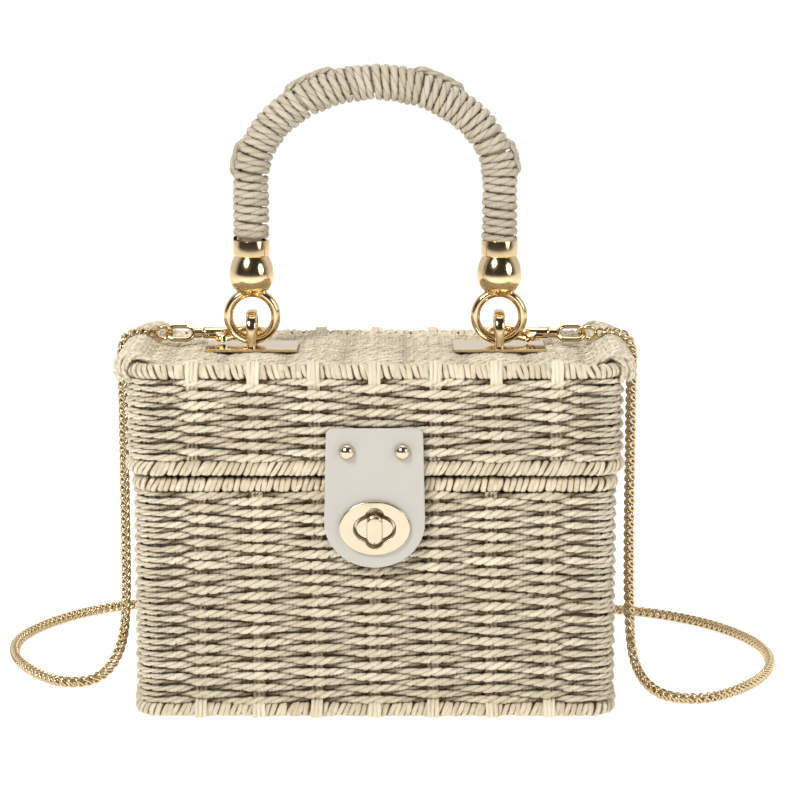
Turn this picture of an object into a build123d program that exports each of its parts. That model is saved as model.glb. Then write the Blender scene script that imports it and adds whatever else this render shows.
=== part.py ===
"""Woven basket box bag: a basket and a hinged lid of straw rope, a wrapped arch handle on two rings,
a leather tab with a turn lock, and a chain strap on two snap hooks.

Millimetres, +Z up, +Y to the back, origin under the middle of the base.
"""

from build123d import *

import math
import os

os.makedirs("parts", exist_ok=True)

# --- basket and lid ---------------------------------------------------------------------------
body_width = 200.0  # outside, along X
body_depth = 98.0  # outside, along Y
body_height = 101.0  # floor to the top of the mouth rim
body_corner = 12.0  # outside corner radius
lid_overhang = 2.5  # lid stands out past the basket on each side
lid_height = 46.0  # mouth rim to top rim
mouth_gap = 1.0  # between the two mouth rims
wall = 6.0  # woven wall: a stake between two passes of rope
rim_dia = 6.2  # wrapped wire rims
foot_flat = 0.3  # flat worn on the underside of the base rim
seat_gap = 0.1  # between woven pieces that are sewn together
base_thickness = 4.2
top_thickness = 4.5
top_sink = 0.8  # top panel lies below the crest of the top rim
post_dia = 3.6  # corner posts of the wire frame
lining_thickness = 0.8
cloth_gap = 0.3
lining_corner_extra = 9.5  # lining rounds its corners more, which leaves room for the posts

# --- back lashings, which are the lid's hinge -------------------------------------------------
lashing_width = 9.0
lashing_thickness = 1.5
lashing_clearance = 0.3
lashing_pitch = 62.0
notch_side = 0.6
notch_over = 1.6

# --- arch handle ------------------------------------------------------------------------------
handle_spacing = 104.0  # between the two legs
arch_rise = 98.0  # ring centre to the handle's crown, on the centreline
shoulder_radius = 36.0
shoulder_turn = 50.0  # degrees
wrap_dia = 15.4
core_dia = 9.0
core_clearance = 0.1
accent_dia = 2.6
ring_wire = 4.0
ring_radius = 10.0
ring_gap = 0.3
ball_dia = 19.0
ball_base = 9.2  # ring centre to the flat under the ball
ball_height = 16.3
collar_dia = 15.4
collar_height = 6.8
collar_floor = 1.2

# --- staples and their plates -----------------------------------------------------------------
plate_width = 38.5
plate_depth = 26.0
plate_thickness = 1.2
plate_corner = 1.2
staple_height = 15.0
staple_leg_y = 8.2
staple_bar = 3.2
staple_foot = 3.4
staple_crown = 5.3
pin_dia = 3.0
pin_clearance = 0.1
washer_thickness = 1.2
washer_dia = 8.0

# --- snap hooks, swivels and jump rings -------------------------------------------------------
hook_tilt = 25.0  # degrees that the hook's plane leans up at the back
hook_wire = 2.6
hook_bend = 3.9
hook_slack = 0.6
hook_lift = 3.9  # hook's axis above the staple plate
hook_rear_bar = 15.0
hook_tip = 3.2
hook_block = 3.2
block_start = 12.5
barrel_start = 16.5
barrel_end = 22.0
barrel_dia = 4.7
pivot_u = 14.2
pivot_v = -3.4
pivot_dia = 1.2
pivot_clearance = 0.05
gate_thickness = 1.5
gate_slot = 1.9
gate_width = 2.0
gate_gap = 0.3
stem_dia = 2.0
stem_head_dia = 2.8
stem_head_start = 18.7
stem_head_end = 19.8
drum_start = 22.3
drum_end = 25.5
drum_dia = 4.2
eye_wire = 2.0
eye_radius = 3.3
eye_straight = 4.6
eye_lean = 50.0  # degrees of the eye's plane from level
jump_wire = 1.6
jump_radius = 3.4
jump_lean = 125.0

# --- leather tab and turn lock ----------------------------------------------------------------
tab_top_width = 39.4
tab_low_width = 41.0
tab_rise = 20.4  # tab's top edge above the lid's lower edge
tab_turn_rise = 1.9  # where the straight sides meet the round end, above the lock's centre
tab_round = 18.8
tab_thickness = 2.5
tab_corner = 3.0
tab_stand = 0.3  # behind the tab, clear of the weave
rivet_spacing = 22.5
rivet_rise = 11.0  # above the lid's lower edge
rivet_head_dia = 6.2
rivet_head_height = 3.4
rivet_shank_dia = 2.4
rivet_washer_dia = 6.0
rivet_washer_thickness = 0.8
lock_drop = 19.3  # lock's centre below the basket's top
lock_width = 29.0
lock_height = 22.5
lock_thickness = 1.7
lock_edge = 0.5
hole_width = 16.1
hole_height = 10.6
lobe_width = 6.6
lobe_height = 15.2
lobe_depth = 0.6
lock_back_thickness = 0.8
lock_back_inset = 2.0
lock_back_ease = 0.8
boss_width = 14.6
boss_height = 9.0
boss_proud = 0.2
base_plate_width = 24.0
base_plate_height = 15.0
base_plate_thickness = 1.0
prong_spacing = 18.0
prong_dia = 2.2
toggle_width = 6.4
toggle_length = 12.1
toggle_thickness = 3.5
toggle_gap = 0.2
toggle_shaft_dia = 3.4
shaft_clearance = 0.06
shaft_depth = 3.0
lock_washer_width = 23.0
lock_washer_height = 9.0
lock_washer_thickness = 0.8

# --- chain strap ------------------------------------------------------------------------------
chain_dia = 4.0
chain_gap = 0.3
bend_share = 0.45

# --- worked out -------------------------------------------------------------------------------
rim_r = rim_dia / 2
lid_width = body_width + 2 * lid_overhang
lid_depth = body_depth + 2 * lid_overhang
lid_corner = body_corner + lid_overhang
lid_base = body_height + mouth_gap
lid_top = lid_base + lid_height
base_rim_z = rim_r - foot_flat
body_rim_z = body_height - rim_r
lid_rim_z = lid_base + rim_r
top_rim_z = lid_top - rim_r
body_wall_low = base_rim_z + rim_r + seat_gap
body_wall_high = body_rim_z - rim_r - seat_gap
lid_wall_low = lid_rim_z + rim_r + seat_gap
lid_wall_high = top_rim_z - rim_r - seat_gap
top_face = lid_top - top_sink
top_under = top_face - top_thickness

hinge_y = lid_depth / 2 - rim_r
hinge_z = lid_rim_z
bar_y = body_depth / 2 - rim_r
bar_z = body_rim_z
lashing_inner = rim_r + lashing_clearance
lashing_outer = lashing_inner + lashing_thickness
lashing_span = math.hypot(hinge_y - bar_y, hinge_z - bar_z)
lashing_turn = math.degrees(math.atan2(hinge_z - bar_z, hinge_y - bar_y))
lashing_places = (-lashing_pitch, 0.0, lashing_pitch)
lashing_names = ("left", "middle", "right")

plate_under = top_face + seat_gap
plate_top = plate_under + plate_thickness
ring_z = plate_top + ring_gap + ring_wire / 2 + ring_radius
staple_x = handle_spacing / 2
ball_flat_z = ring_z + ball_base
ball_z = ball_flat_z + ball_height / 2
collar_low = ball_flat_z + ball_height
collar_high = collar_low + collar_height
wrap_start = collar_high + seat_gap
core_start = collar_low + collar_floor + core_clearance
crown_z = ring_z + arch_rise
turn = math.radians(shoulder_turn)
shoulder_in = shoulder_radius * (1 - math.cos(turn))
crown_radius = (staple_x - shoulder_in) / math.cos(turn)
arc_rise = shoulder_radius * math.sin(turn) + crown_radius * (1 - math.sin(turn))
leg_top = crown_z - arc_rise

hook_z = plate_top + hook_lift
hook_x = staple_x - hook_slack
tilt = math.radians(hook_tilt)

lock_z = body_height - lock_drop
tab_top_z = lid_base + tab_rise
tab_turn_z = lock_z + tab_turn_rise
rivet_z = lid_base + rivet_rise
lid_front = -lid_depth / 2
body_front = -body_depth / 2
tab_back_y = lid_front - tab_stand
tab_front_y = tab_back_y - tab_thickness
lock_front_y = tab_front_y - lock_thickness
boss_face_y = lock_front_y - boss_proud
toggle_back_y = boss_face_y - toggle_gap
toggle_front_y = toggle_back_y - toggle_thickness
lid_lining_low = hinge_z + lashing_outer + 2 * notch_over
body_lining_high = bar_z - lashing_outer - 2 * notch_side


def rope_ring(width, depth, corner, z):
    """Wrapped wire rim: a round section swept round a rounded rectangle whose outside is given."""
    half_w = width / 2 - rim_r
    half_d = depth / 2 - rim_r
    corners = [(-half_w, -half_d), (half_w, -half_d), (half_w, half_d), (-half_w, half_d)]
    with BuildPart() as ring:
        with BuildLine(Plane.XY.offset(z)) as outline:
            FilletPolyline(*corners, radius=corner - rim_r, close=True)
        path = outline.wire()
        with BuildSketch(Plane(origin=path @ 0, z_dir=path % 0)):
            Circle(rim_r)
        sweep(path=path)
    return ring.part


def woven_wall(width, depth, corner, low, high):
    """Four woven walls in one, open at both ends."""
    with BuildPart() as tube:
        with BuildSketch(Plane.XY.offset(low)):
            RectangleRounded(width, depth, corner)
            RectangleRounded(width - 2 * wall, depth - 2 * wall, corner - wall, mode=Mode.SUBTRACT)
        extrude(amount=high - low)
    return tube.part


def woven_panel(width, depth, corner, low, thickness):
    """Flat woven panel that fills a rim."""
    inset = 2 * (rim_dia + seat_gap)
    with BuildPart() as panel:
        with BuildSketch(Plane.XY.offset(low)):
            RectangleRounded(width - inset, depth - inset, corner - rim_dia - seat_gap)
        extrude(amount=thickness)
    return panel.part


def lining_size(width, depth, corner):
    """Outside width, depth and corner radius of a lining that hangs inside a woven wall."""
    inset = 2 * max(wall + cloth_gap, rim_dia + seat_gap)
    return width - inset, depth - inset, corner - wall + lining_corner_extra


def lining_shell(width, depth, corner, closed_z, open_z):
    """Cloth lining: a thin box shut at closed_z and open at open_z."""
    outer_w, outer_d, outer_r = lining_size(width, depth, corner)
    up = 1 if open_z > closed_z else -1
    inner = 2 * lining_thickness
    with BuildPart() as shell:
        with BuildSketch(Plane.XY.offset(closed_z)):
            RectangleRounded(outer_w, outer_d, outer_r)
        extrude(amount=open_z - closed_z)
        with BuildSketch(Plane.XY.offset(closed_z + up * lining_thickness)):
            RectangleRounded(outer_w - inner, outer_d - inner, outer_r - lining_thickness)
        extrude(amount=open_z - closed_z, mode=Mode.SUBTRACT)
    return shell.part


def corner_posts(width, depth, corner, low, high):
    """Wires of the frame that stand in the four corners, between the weave and the lining."""
    reach = (corner - wall - seat_gap - post_dia / 2) / math.sqrt(2)
    x = width / 2 - corner + reach
    y = depth / 2 - corner + reach
    with BuildPart() as posts:
        with BuildSketch(Plane.XY.offset(low)):
            with GridLocations(2 * x, 2 * y, 2, 2):
                Circle(post_dia / 2)
        extrude(amount=high - low)
    return posts.part


def save(builder, name):
    builder.part.label = name
    export_step(builder.part, f"parts/{name}.step")


# --- basket -----------------------------------------------------------------------------------
with BuildPart() as base_rim:
    add(rope_ring(body_width, body_depth, body_corner, base_rim_z))
    split(bisect_by=Plane.XY, keep=Keep.TOP)
save(base_rim, "base_rim")

with BuildPart() as body_rim:
    add(rope_ring(body_width, body_depth, body_corner, body_rim_z))
save(body_rim, "body_rim")

with BuildPart() as body_weave:
    add(woven_wall(body_width, body_depth, body_corner, body_wall_low, body_wall_high))
    notch_low = bar_z - lashing_outer - notch_side
    notch_high = body_wall_high + notch_side
    with BuildSketch(Plane.XY.offset(notch_low)):
        with Locations(*[(x, body_depth / 2 - wall / 2) for x in lashing_places]):
            Rectangle(lashing_width + 2 * notch_side, wall + 2 * notch_side)
    extrude(amount=notch_high - notch_low, mode=Mode.SUBTRACT)
    with BuildSketch(Plane.XZ.offset(-body_front - wall - notch_side)):
        with Locations((-prong_spacing / 2, lock_z), (prong_spacing / 2, lock_z)):
            Circle(prong_dia / 2 + pin_clearance)
    extrude(amount=wall + 2 * notch_side, mode=Mode.SUBTRACT)
save(body_weave, "body_weave")

with BuildPart() as base_weave:
    add(woven_panel(body_width, body_depth, body_corner, 0.0, base_thickness))
save(base_weave, "base_weave")

with BuildPart() as body_posts:
    add(corner_posts(body_width, body_depth, body_corner, body_wall_low, body_wall_high))
save(body_posts, "body_corner_posts")

body_lining_low = base_thickness + cloth_gap
with BuildPart() as body_lining:
    add(lining_shell(body_width, body_depth, body_corner, body_lining_low, body_lining_high))
    inner_front = body_front + wall
    with BuildSketch(Plane.XZ.offset(-inner_front - 2 * cloth_gap - lining_thickness)):
        with Locations((0, lock_z)):
            RectangleRounded(
                lock_washer_width + 2 * cloth_gap, lock_washer_height + 2 * cloth_gap, prong_dia
            )
    extrude(amount=lining_thickness + 2 * cloth_gap, mode=Mode.SUBTRACT)
save(body_lining, "body_lining")

for place, side_name in zip(lashing_places, lashing_names):
    middle = Plane.YZ.offset(place - lashing_width / 2)
    with BuildPart() as lashing:
        with BuildSketch(middle):
            with Locations(((hinge_y + bar_y) / 2, (hinge_z + bar_z) / 2)):
                SlotCenterToCenter(lashing_span, 2 * lashing_outer, rotation=lashing_turn)
                SlotCenterToCenter(
                    lashing_span, 2 * lashing_inner, rotation=lashing_turn, mode=Mode.SUBTRACT
                )
        extrude(amount=lashing_width)
    save(lashing, f"hinge_lashing_{side_name}")

# --- lid --------------------------------------------------------------------------------------
with BuildPart() as lid_rim:
    add(rope_ring(lid_width, lid_depth, lid_corner, lid_rim_z))
save(lid_rim, "lid_rim")

with BuildPart() as lid_top_rim:
    add(rope_ring(lid_width, lid_depth, lid_corner, top_rim_z))
save(lid_top_rim, "lid_top_rim")

with BuildPart() as lid_wall_weave:
    add(woven_wall(lid_width, lid_depth, lid_corner, lid_wall_low, lid_wall_high))
    with BuildSketch(Plane.XY.offset(lid_wall_low - notch_side)):
        with Locations(*[(x, lid_depth / 2 - wall / 2) for x in lashing_places]):
            Rectangle(lashing_width + 2 * notch_side, wall + 2 * notch_side)
    notch_top = hinge_z + lashing_outer + notch_over
    extrude(amount=notch_top - lid_wall_low + notch_side, mode=Mode.SUBTRACT)
    with BuildSketch(Plane.XZ.offset(-lid_front - wall - notch_side)):
        with Locations((-rivet_spacing / 2, rivet_z), (rivet_spacing / 2, rivet_z)):
            Circle(rivet_shank_dia / 2 + pin_clearance)
    extrude(amount=wall + 2 * notch_side, mode=Mode.SUBTRACT)
save(lid_wall_weave, "lid_wall_weave")

with BuildPart() as lid_posts:
    add(corner_posts(lid_width, lid_depth, lid_corner, lid_wall_low, lid_wall_high))
save(lid_posts, "lid_corner_posts")

with BuildPart() as lid_top_weave:
    add(woven_panel(lid_width, lid_depth, lid_corner, top_under, top_thickness))
    with BuildSketch(Plane.XY.offset(top_under)):
        with GridLocations(2 * staple_x, 2 * staple_leg_y, 2, 2):
            Circle(pin_dia / 2 + pin_clearance)
    extrude(amount=top_thickness, mode=Mode.SUBTRACT)
save(lid_top_weave, "lid_top_weave")

lid_lining_top = top_under - seat_gap - washer_thickness - cloth_gap
with BuildPart() as lid_lining:
    add(lining_shell(lid_width, lid_depth, lid_corner, lid_lining_top, lid_lining_low))
    inner_front = lid_front + wall
    with BuildSketch(Plane.XZ.offset(-inner_front - 2 * cloth_gap - lining_thickness)):
        with Locations((-rivet_spacing / 2, rivet_z), (rivet_spacing / 2, rivet_z)):
            Circle(rivet_washer_dia / 2 + cloth_gap)
    extrude(amount=lining_thickness + 2 * cloth_gap, mode=Mode.SUBTRACT)
save(lid_lining, "lid_lining")

# --- handle -----------------------------------------------------------------------------------


def arch(offset, start_z):
    """The handle's centreline, or a line parallel to it that lies further out by offset."""
    with BuildLine(Plane.XZ) as line:
        left_leg = Line((-staple_x - offset, start_z), (-staple_x - offset, leg_top))
        left_arc = JernArc(left_leg @ 1, left_leg % 1, shoulder_radius + offset, -shoulder_turn)
        sweep_angle = 2 * (90 - shoulder_turn)
        crown = JernArc(left_arc @ 1, left_arc % 1, crown_radius + offset, -sweep_angle)
        right_arc = JernArc(crown @ 1, crown % 1, shoulder_radius + offset, -shoulder_turn)
        Line(right_arc @ 1, (staple_x + offset, start_z))
    return line


with BuildPart() as handle_core:
    core_line = arch(0, core_start)
    with BuildSketch(Plane.XY.offset(core_start)):
        with Locations((-staple_x, 0)):
            Circle(core_dia / 2)
    sweep(path=core_line.wire())
save(handle_core, "handle_core")

with BuildPart() as handle_wrap:
    wrap_line = arch(0, wrap_start)
    with BuildSketch(Plane.XY.offset(wrap_start)):
        with Locations((-staple_x, 0)):
            Circle(wrap_dia / 2)
            Circle(core_dia / 2 + core_clearance, mode=Mode.SUBTRACT)
    sweep(path=wrap_line.wire())
save(handle_wrap, "handle_wrap")

with BuildPart() as accent_cord:
    accent_offset = (wrap_dia + accent_dia) / 2 + seat_gap
    accent_start = wrap_start + accent_dia
    accent_line = arch(accent_offset, accent_start)
    with BuildSketch(Plane.XY.offset(accent_start)):
        with Locations((-staple_x - accent_offset, 0)):
            Circle(accent_dia / 2)
    sweep(path=accent_line.wire())
save(accent_cord, "handle_accent_cord")

for side, side_name in ((-1, "left"), (1, "right")):
    with BuildPart() as cap:
        with BuildSketch(Plane.XZ.offset(0)) as profile:
            with Locations((side * staple_x, ball_z)):
                Circle(ball_dia / 2)
            with Locations((side * staple_x, (ball_flat_z + collar_low) / 2)):
                Rectangle(ball_dia, ball_height, mode=Mode.INTERSECT)
            with Locations((side * staple_x, collar_low + collar_height / 2)):
                Rectangle(collar_dia, collar_height)
            with Locations((side * staple_x - ball_dia, ball_z)):
                Rectangle(2 * ball_dia, 4 * ball_dia, mode=Mode.SUBTRACT)
        revolve(axis=Axis((side * staple_x, 0, 0), (0, 0, 1)))
        with BuildSketch(Plane.XY.offset(collar_high)):
            with Locations((side * staple_x, 0)):
                Circle(core_dia / 2 + core_clearance)
        extrude(amount=-(collar_height - collar_floor), mode=Mode.SUBTRACT)
        with Locations(Location((side * staple_x, 0, ring_z), (90, 0, 0))):
            Torus(ring_radius, ring_wire / 2)
    save(cap, f"handle_cap_{side_name}")

# --- staples ----------------------------------------------------------------------------------
staple_top = plate_top + staple_height
staple_outer = staple_leg_y + staple_bar / 2
staple_inner = staple_leg_y - staple_bar / 2
spring_z = staple_top - staple_outer
pin_low = top_under - seat_gap - washer_thickness

for side, side_name in ((-1, "left"), (1, "right")):
    x = side * staple_x
    with BuildPart() as plate:
        with BuildSketch(Plane.XY.offset(plate_under)):
            with Locations((x, 0)):
                RectangleRounded(plate_width, plate_depth, plate_corner)
            with Locations((x, -staple_leg_y), (x, staple_leg_y)):
                Circle(pin_dia / 2 + pin_clearance, mode=Mode.SUBTRACT)
        extrude(amount=plate_thickness)
        chamfer(plate.edges().group_by(Axis.Z)[-1].filter_by(GeomType.LINE), plate_thickness / 5)
    save(plate, f"staple_plate_{side_name}")

    with BuildPart() as staple:
        with BuildSketch(Plane.YZ.offset(x - staple_crown / 2)):
            with Locations((0, spring_z)):
                Circle(staple_outer)
            with Locations((0, spring_z - staple_outer / 2)):
                Rectangle(2 * staple_outer, staple_outer, mode=Mode.ADD)
            with Locations((0, plate_top - staple_outer)):
                Rectangle(4 * staple_outer, 2 * staple_outer, mode=Mode.SUBTRACT)
            with Locations((0, spring_z)):
                Circle(staple_inner, mode=Mode.SUBTRACT)
            with Locations((0, spring_z - staple_inner)):
                Rectangle(2 * staple_inner, 2 * staple_inner, mode=Mode.SUBTRACT)
        extrude(amount=staple_crown)
        with BuildSketch(Plane.XZ.offset(-2 * staple_outer)):
            with BuildLine():
                Polyline(
                    (x - staple_foot / 2, plate_top),
                    (x + staple_foot / 2, plate_top),
                    (x + staple_crown / 2, staple_top),
                    (x - staple_crown / 2, staple_top),
                    close=True,
                )
            make_face()
        extrude(amount=4 * staple_outer, mode=Mode.INTERSECT)
        with BuildSketch(Plane.XY.offset(pin_low)):
            with Locations((x, -staple_leg_y), (x, staple_leg_y)):
                Circle(pin_dia / 2)
        extrude(amount=plate_top - pin_low)
    save(staple, f"staple_{side_name}")

    with BuildPart() as washer:
        with BuildSketch(Plane.XY.offset(pin_low)):
            with Locations((x, 0)):
                SlotCenterToCenter(2 * staple_leg_y, washer_dia, rotation=90)
            with Locations((x, -staple_leg_y), (x, staple_leg_y)):
                Circle(pin_dia / 2 + pin_clearance, mode=Mode.SUBTRACT)
        extrude(amount=washer_thickness)
    save(washer, f"staple_washer_{side_name}")

# --- snap hooks -------------------------------------------------------------------------------
block_half = hook_bend + hook_wire / 2

for side, side_name in ((-1, "left"), (1, "right")):
    hook_plane = Plane(
        origin=(side * hook_x, staple_leg_y, hook_z),
        x_dir=(side, 0, 0),
        z_dir=(0, -side * math.sin(tilt), side * math.cos(tilt)),
    )

    def across(distance):
        """Plane square to the hook's long axis, at a distance along it."""
        centre = hook_plane.from_local_coords((distance, 0, 0))
        return Plane(origin=centre, x_dir=hook_plane.y_dir, z_dir=hook_plane.x_dir)

    with BuildPart() as hook:
        with BuildLine(hook_plane) as claw:
            Line((hook_rear_bar, hook_bend), (0, hook_bend))
            CenterArc((0, 0), hook_bend, 90, 180)
            Line((0, -hook_bend), (hook_tip, -hook_bend))
        claw_wire = claw.wire()
        with BuildSketch(Plane(origin=claw_wire @ 0, z_dir=claw_wire % 0)):
            Circle(hook_wire / 2)
        sweep(path=claw_wire)
        with BuildSketch(hook_plane.offset(-hook_block / 2)):
            with BuildLine():
                Polyline(
                    (block_start, block_half),
                    (barrel_start - hook_wire / 2, block_half),
                    (barrel_start + hook_wire / 2, barrel_dia / 2),
                    (barrel_start + hook_wire / 2, -barrel_dia / 2),
                    (barrel_start - hook_wire / 2, -block_half),
                    (block_start + hook_wire / 4, -block_half),
                    (block_start, -block_half + hook_wire / 4),
                    close=True,
                )
            make_face()
        extrude(amount=hook_block)
        with BuildSketch(across(barrel_start)):
            Circle(barrel_dia / 2)
        extrude(amount=barrel_end - barrel_start)
        slot_low = -2 * block_half
        slot_high = pivot_v + gate_width + pivot_clearance + pivot_dia / 2
        with BuildSketch(hook_plane.offset(-gate_slot / 2)):
            with BuildLine():
                Polyline(
                    (block_start - gate_width, slot_low),
                    (pivot_u + gate_width, slot_low),
                    (pivot_u + gate_width, slot_high),
                    (block_start - gate_width, slot_high),
                    close=True,
                )
            make_face()
        extrude(amount=gate_slot, mode=Mode.SUBTRACT)
        with BuildSketch(hook_plane.offset(-hook_block)):
            with Locations((pivot_u, pivot_v)):
                Circle(pivot_dia / 2 + pivot_clearance)
        extrude(amount=2 * hook_block, mode=Mode.SUBTRACT)
        with BuildSketch(across(stem_head_start - pin_clearance)):
            Circle(stem_dia / 2 + pivot_clearance)
        extrude(amount=barrel_end - stem_head_start + 2 * pin_clearance, mode=Mode.SUBTRACT)
        with BuildSketch(across(stem_head_start - pin_clearance)):
            Circle(stem_head_dia / 2 + pin_clearance)
        head_room = stem_head_end - stem_head_start + 2 * pin_clearance
        extrude(amount=head_room, mode=Mode.SUBTRACT)
    save(hook, f"snap_hook_{side_name}")

    with BuildPart() as pivot_pin:
        with BuildSketch(hook_plane.offset(-hook_block / 2)):
            with Locations((pivot_u, pivot_v)):
                Circle(pivot_dia / 2)
        extrude(amount=hook_block)
    save(pivot_pin, f"trigger_pin_{side_name}")

    with BuildPart() as trigger:
        with BuildSketch(hook_plane.offset(-gate_thickness / 2)):
            tip_u = hook_tip + gate_gap
            bar_low = -hook_bend - gate_width / 2
            bar_high = -hook_bend + gate_width / 2
            nub_u = block_start - gate_width
            with BuildLine():
                Polyline(
                    (tip_u, bar_low),
                    (nub_u - gate_width, bar_low),
                    (nub_u, bar_low - gate_width / 2),
                    (nub_u + gate_width / 2, bar_low),
                    (pivot_u, bar_low),
                    (pivot_u, bar_high),
                    (tip_u, bar_high),
                    close=True,
                )
            make_face()
            with Locations((pivot_u, pivot_v)):
                Circle(gate_width - pivot_dia / 2)
                Circle(pivot_dia / 2 + pivot_clearance, mode=Mode.SUBTRACT)
        extrude(amount=gate_thickness)
    save(trigger, f"trigger_{side_name}")

    eye_end = drum_end + eye_wire / 4 + 2 * eye_radius + eye_straight
    lean = math.radians(eye_lean)
    eye_plane = Plane(
        origin=hook_plane.from_local_coords((0, 0, 0)),
        x_dir=(side, 0, 0),
        z_dir=(0, -side * math.sin(lean), side * math.cos(lean)),
    )
    with BuildPart() as eye:
        with BuildSketch(across(stem_head_start)):
            Circle(stem_head_dia / 2)
        extrude(amount=stem_head_end - stem_head_start)
        with BuildSketch(across(stem_head_start)):
            Circle(stem_dia / 2)
        extrude(amount=drum_end - stem_head_start)
        with BuildSketch(across(drum_start)):
            Circle(drum_dia / 2)
        extrude(amount=drum_end - drum_start)
        loop_start = drum_end + eye_wire / 4 + eye_radius
        with BuildLine(eye_plane) as loop:
            Line((loop_start, eye_radius), (loop_start + eye_straight, eye_radius))
            CenterArc((loop_start + eye_straight, 0), eye_radius, 90, -180)
            Line((loop_start + eye_straight, -eye_radius), (loop_start, -eye_radius))
            CenterArc((loop_start, 0), eye_radius, 270, -180)
        loop_wire = loop.wire()
        with BuildSketch(Plane(origin=loop_wire @ 0, z_dir=loop_wire % 0)):
            Circle(eye_wire / 2)
        sweep(path=loop_wire)
    save(eye, f"swivel_eye_{side_name}")

    jump_turn = math.radians(jump_lean)
    jump_centre = eye_end - eye_wire / 2 - jump_wire / 2 - pin_clearance + jump_radius
    jump_plane = Plane(
        origin=hook_plane.from_local_coords((jump_centre, 0, 0)),
        x_dir=(side, 0, 0),
        z_dir=(0, -side * math.sin(jump_turn), side * math.cos(jump_turn)),
    )
    with BuildPart() as jump_ring:
        with Locations(jump_plane.location):
            Torus(jump_radius, jump_wire / 2)
    save(jump_ring, f"jump_ring_{side_name}")

jump_end = jump_centre + jump_radius + jump_wire / 2

# --- leather tab ------------------------------------------------------------------------------
with BuildPart() as lock_tab:
    with BuildSketch(Plane.XZ.offset(-tab_back_y)):
        with BuildLine():
            Polyline(
                (-tab_low_width / 2, tab_turn_z),
                (-tab_top_width / 2, tab_top_z),
                (tab_top_width / 2, tab_top_z),
                (tab_low_width / 2, tab_turn_z),
                close=True,
            )
        face = make_face()
        fillet(face.vertices().group_by(Axis.Z)[-1], tab_corner)
        with Locations((0, tab_turn_z)):
            Ellipse(tab_low_width / 2, tab_round)
        with Locations((0, lock_z)):
            Ellipse(
                hole_width / 2 + lock_back_ease / 2,
                hole_height / 2 + lock_back_ease / 2,
                mode=Mode.SUBTRACT,
            )
        with Locations((-rivet_spacing / 2, rivet_z), (rivet_spacing / 2, rivet_z)):
            Circle(rivet_shank_dia / 2 + pin_clearance, mode=Mode.SUBTRACT)
    extrude(amount=tab_thickness)
save(lock_tab, "lock_tab")

with BuildPart() as lock_plate:
    with BuildSketch(Plane.XZ.offset(-tab_front_y)):
        with Locations((0, lock_z)):
            Ellipse(lock_width / 2, lock_height / 2)
    extrude(amount=lock_thickness)
    chamfer(lock_plate.edges().group_by(Axis.Y)[0], lock_edge)
    with BuildSketch(Plane.XZ.offset(-tab_front_y)):
        with Locations((0, lock_z)):
            Ellipse(hole_width / 2, hole_height / 2)
    extrude(amount=lock_thickness, mode=Mode.SUBTRACT)
    with BuildSketch(Plane.XZ.offset(-lock_front_y - lobe_depth)):
        with Locations((0, lock_z)):
            SlotOverall(lobe_height, lobe_width, rotation=90)
    extrude(amount=lobe_depth, mode=Mode.SUBTRACT)
save(lock_plate, "lock_plate")

with BuildPart() as lock_plate_back:
    with BuildSketch(Plane.XZ.offset(-tab_back_y - lock_back_thickness)):
        with Locations((0, lock_z)):
            Ellipse(lock_width / 2 - lock_back_inset, lock_height / 2 - lock_back_inset)
            Ellipse(
                hole_width / 2 + lock_back_ease, hole_height / 2 + lock_back_ease, mode=Mode.SUBTRACT
            )
    extrude(amount=lock_back_thickness)
save(lock_plate_back, "lock_plate_back")

for side, side_name in ((-1, "left"), (1, "right")):
    centre = (side * rivet_spacing / 2, rivet_z)
    rivet_end = lid_front + wall + cloth_gap + rivet_washer_thickness
    with BuildPart() as rivet:
        with BuildSketch(Plane.XZ.offset(-tab_front_y)):
            with Locations(centre):
                Circle(rivet_head_dia / 2)
        extrude(amount=rivet_head_height)
        dome = rivet.edges().group_by(Axis.Y)[0]
        fillet(dome, min(rivet_head_dia / 2, rivet_head_height) * 0.9)
        with BuildSketch(Plane.XZ.offset(-rivet_end)):
            with Locations(centre):
                Circle(rivet_shank_dia / 2)
        extrude(amount=rivet_end - tab_front_y)
    save(rivet, f"tab_rivet_{side_name}")

    with BuildPart() as rivet_washer:
        with BuildSketch(Plane.XZ.offset(-rivet_end)):
            with Locations(centre):
                Circle(rivet_washer_dia / 2)
                Circle(rivet_shank_dia / 2 + pin_clearance, mode=Mode.SUBTRACT)
        extrude(amount=rivet_washer_thickness)
    save(rivet_washer, f"tab_rivet_washer_{side_name}")

# --- turn lock on the basket ------------------------------------------------------------------
base_plate_back_y = body_front - seat_gap
prong_end = body_front + wall + cloth_gap + lock_washer_thickness

with BuildPart() as lock_base:
    with BuildSketch(Plane.XZ.offset(-base_plate_back_y)):
        with Locations((0, lock_z)):
            Ellipse(base_plate_width / 2, base_plate_height / 2)
    extrude(amount=base_plate_thickness)
    with BuildSketch(Plane.XZ.offset(-base_plate_back_y)):
        with Locations((0, lock_z)):
            Ellipse(boss_width / 2, boss_height / 2)
    extrude(amount=base_plate_back_y - boss_face_y)
    with BuildSketch(Plane.XZ.offset(-prong_end)):
        with Locations((-prong_spacing / 2, lock_z), (prong_spacing / 2, lock_z)):
            Circle(prong_dia / 2)
    extrude(amount=prong_end - base_plate_back_y)
    with BuildSketch(Plane.XZ.offset(-boss_face_y)):
        with Locations((0, lock_z)):
            Circle(toggle_shaft_dia / 2 + shaft_clearance)
    extrude(amount=-shaft_depth - shaft_clearance, mode=Mode.SUBTRACT)
save(lock_base, "lock_base")

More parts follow.
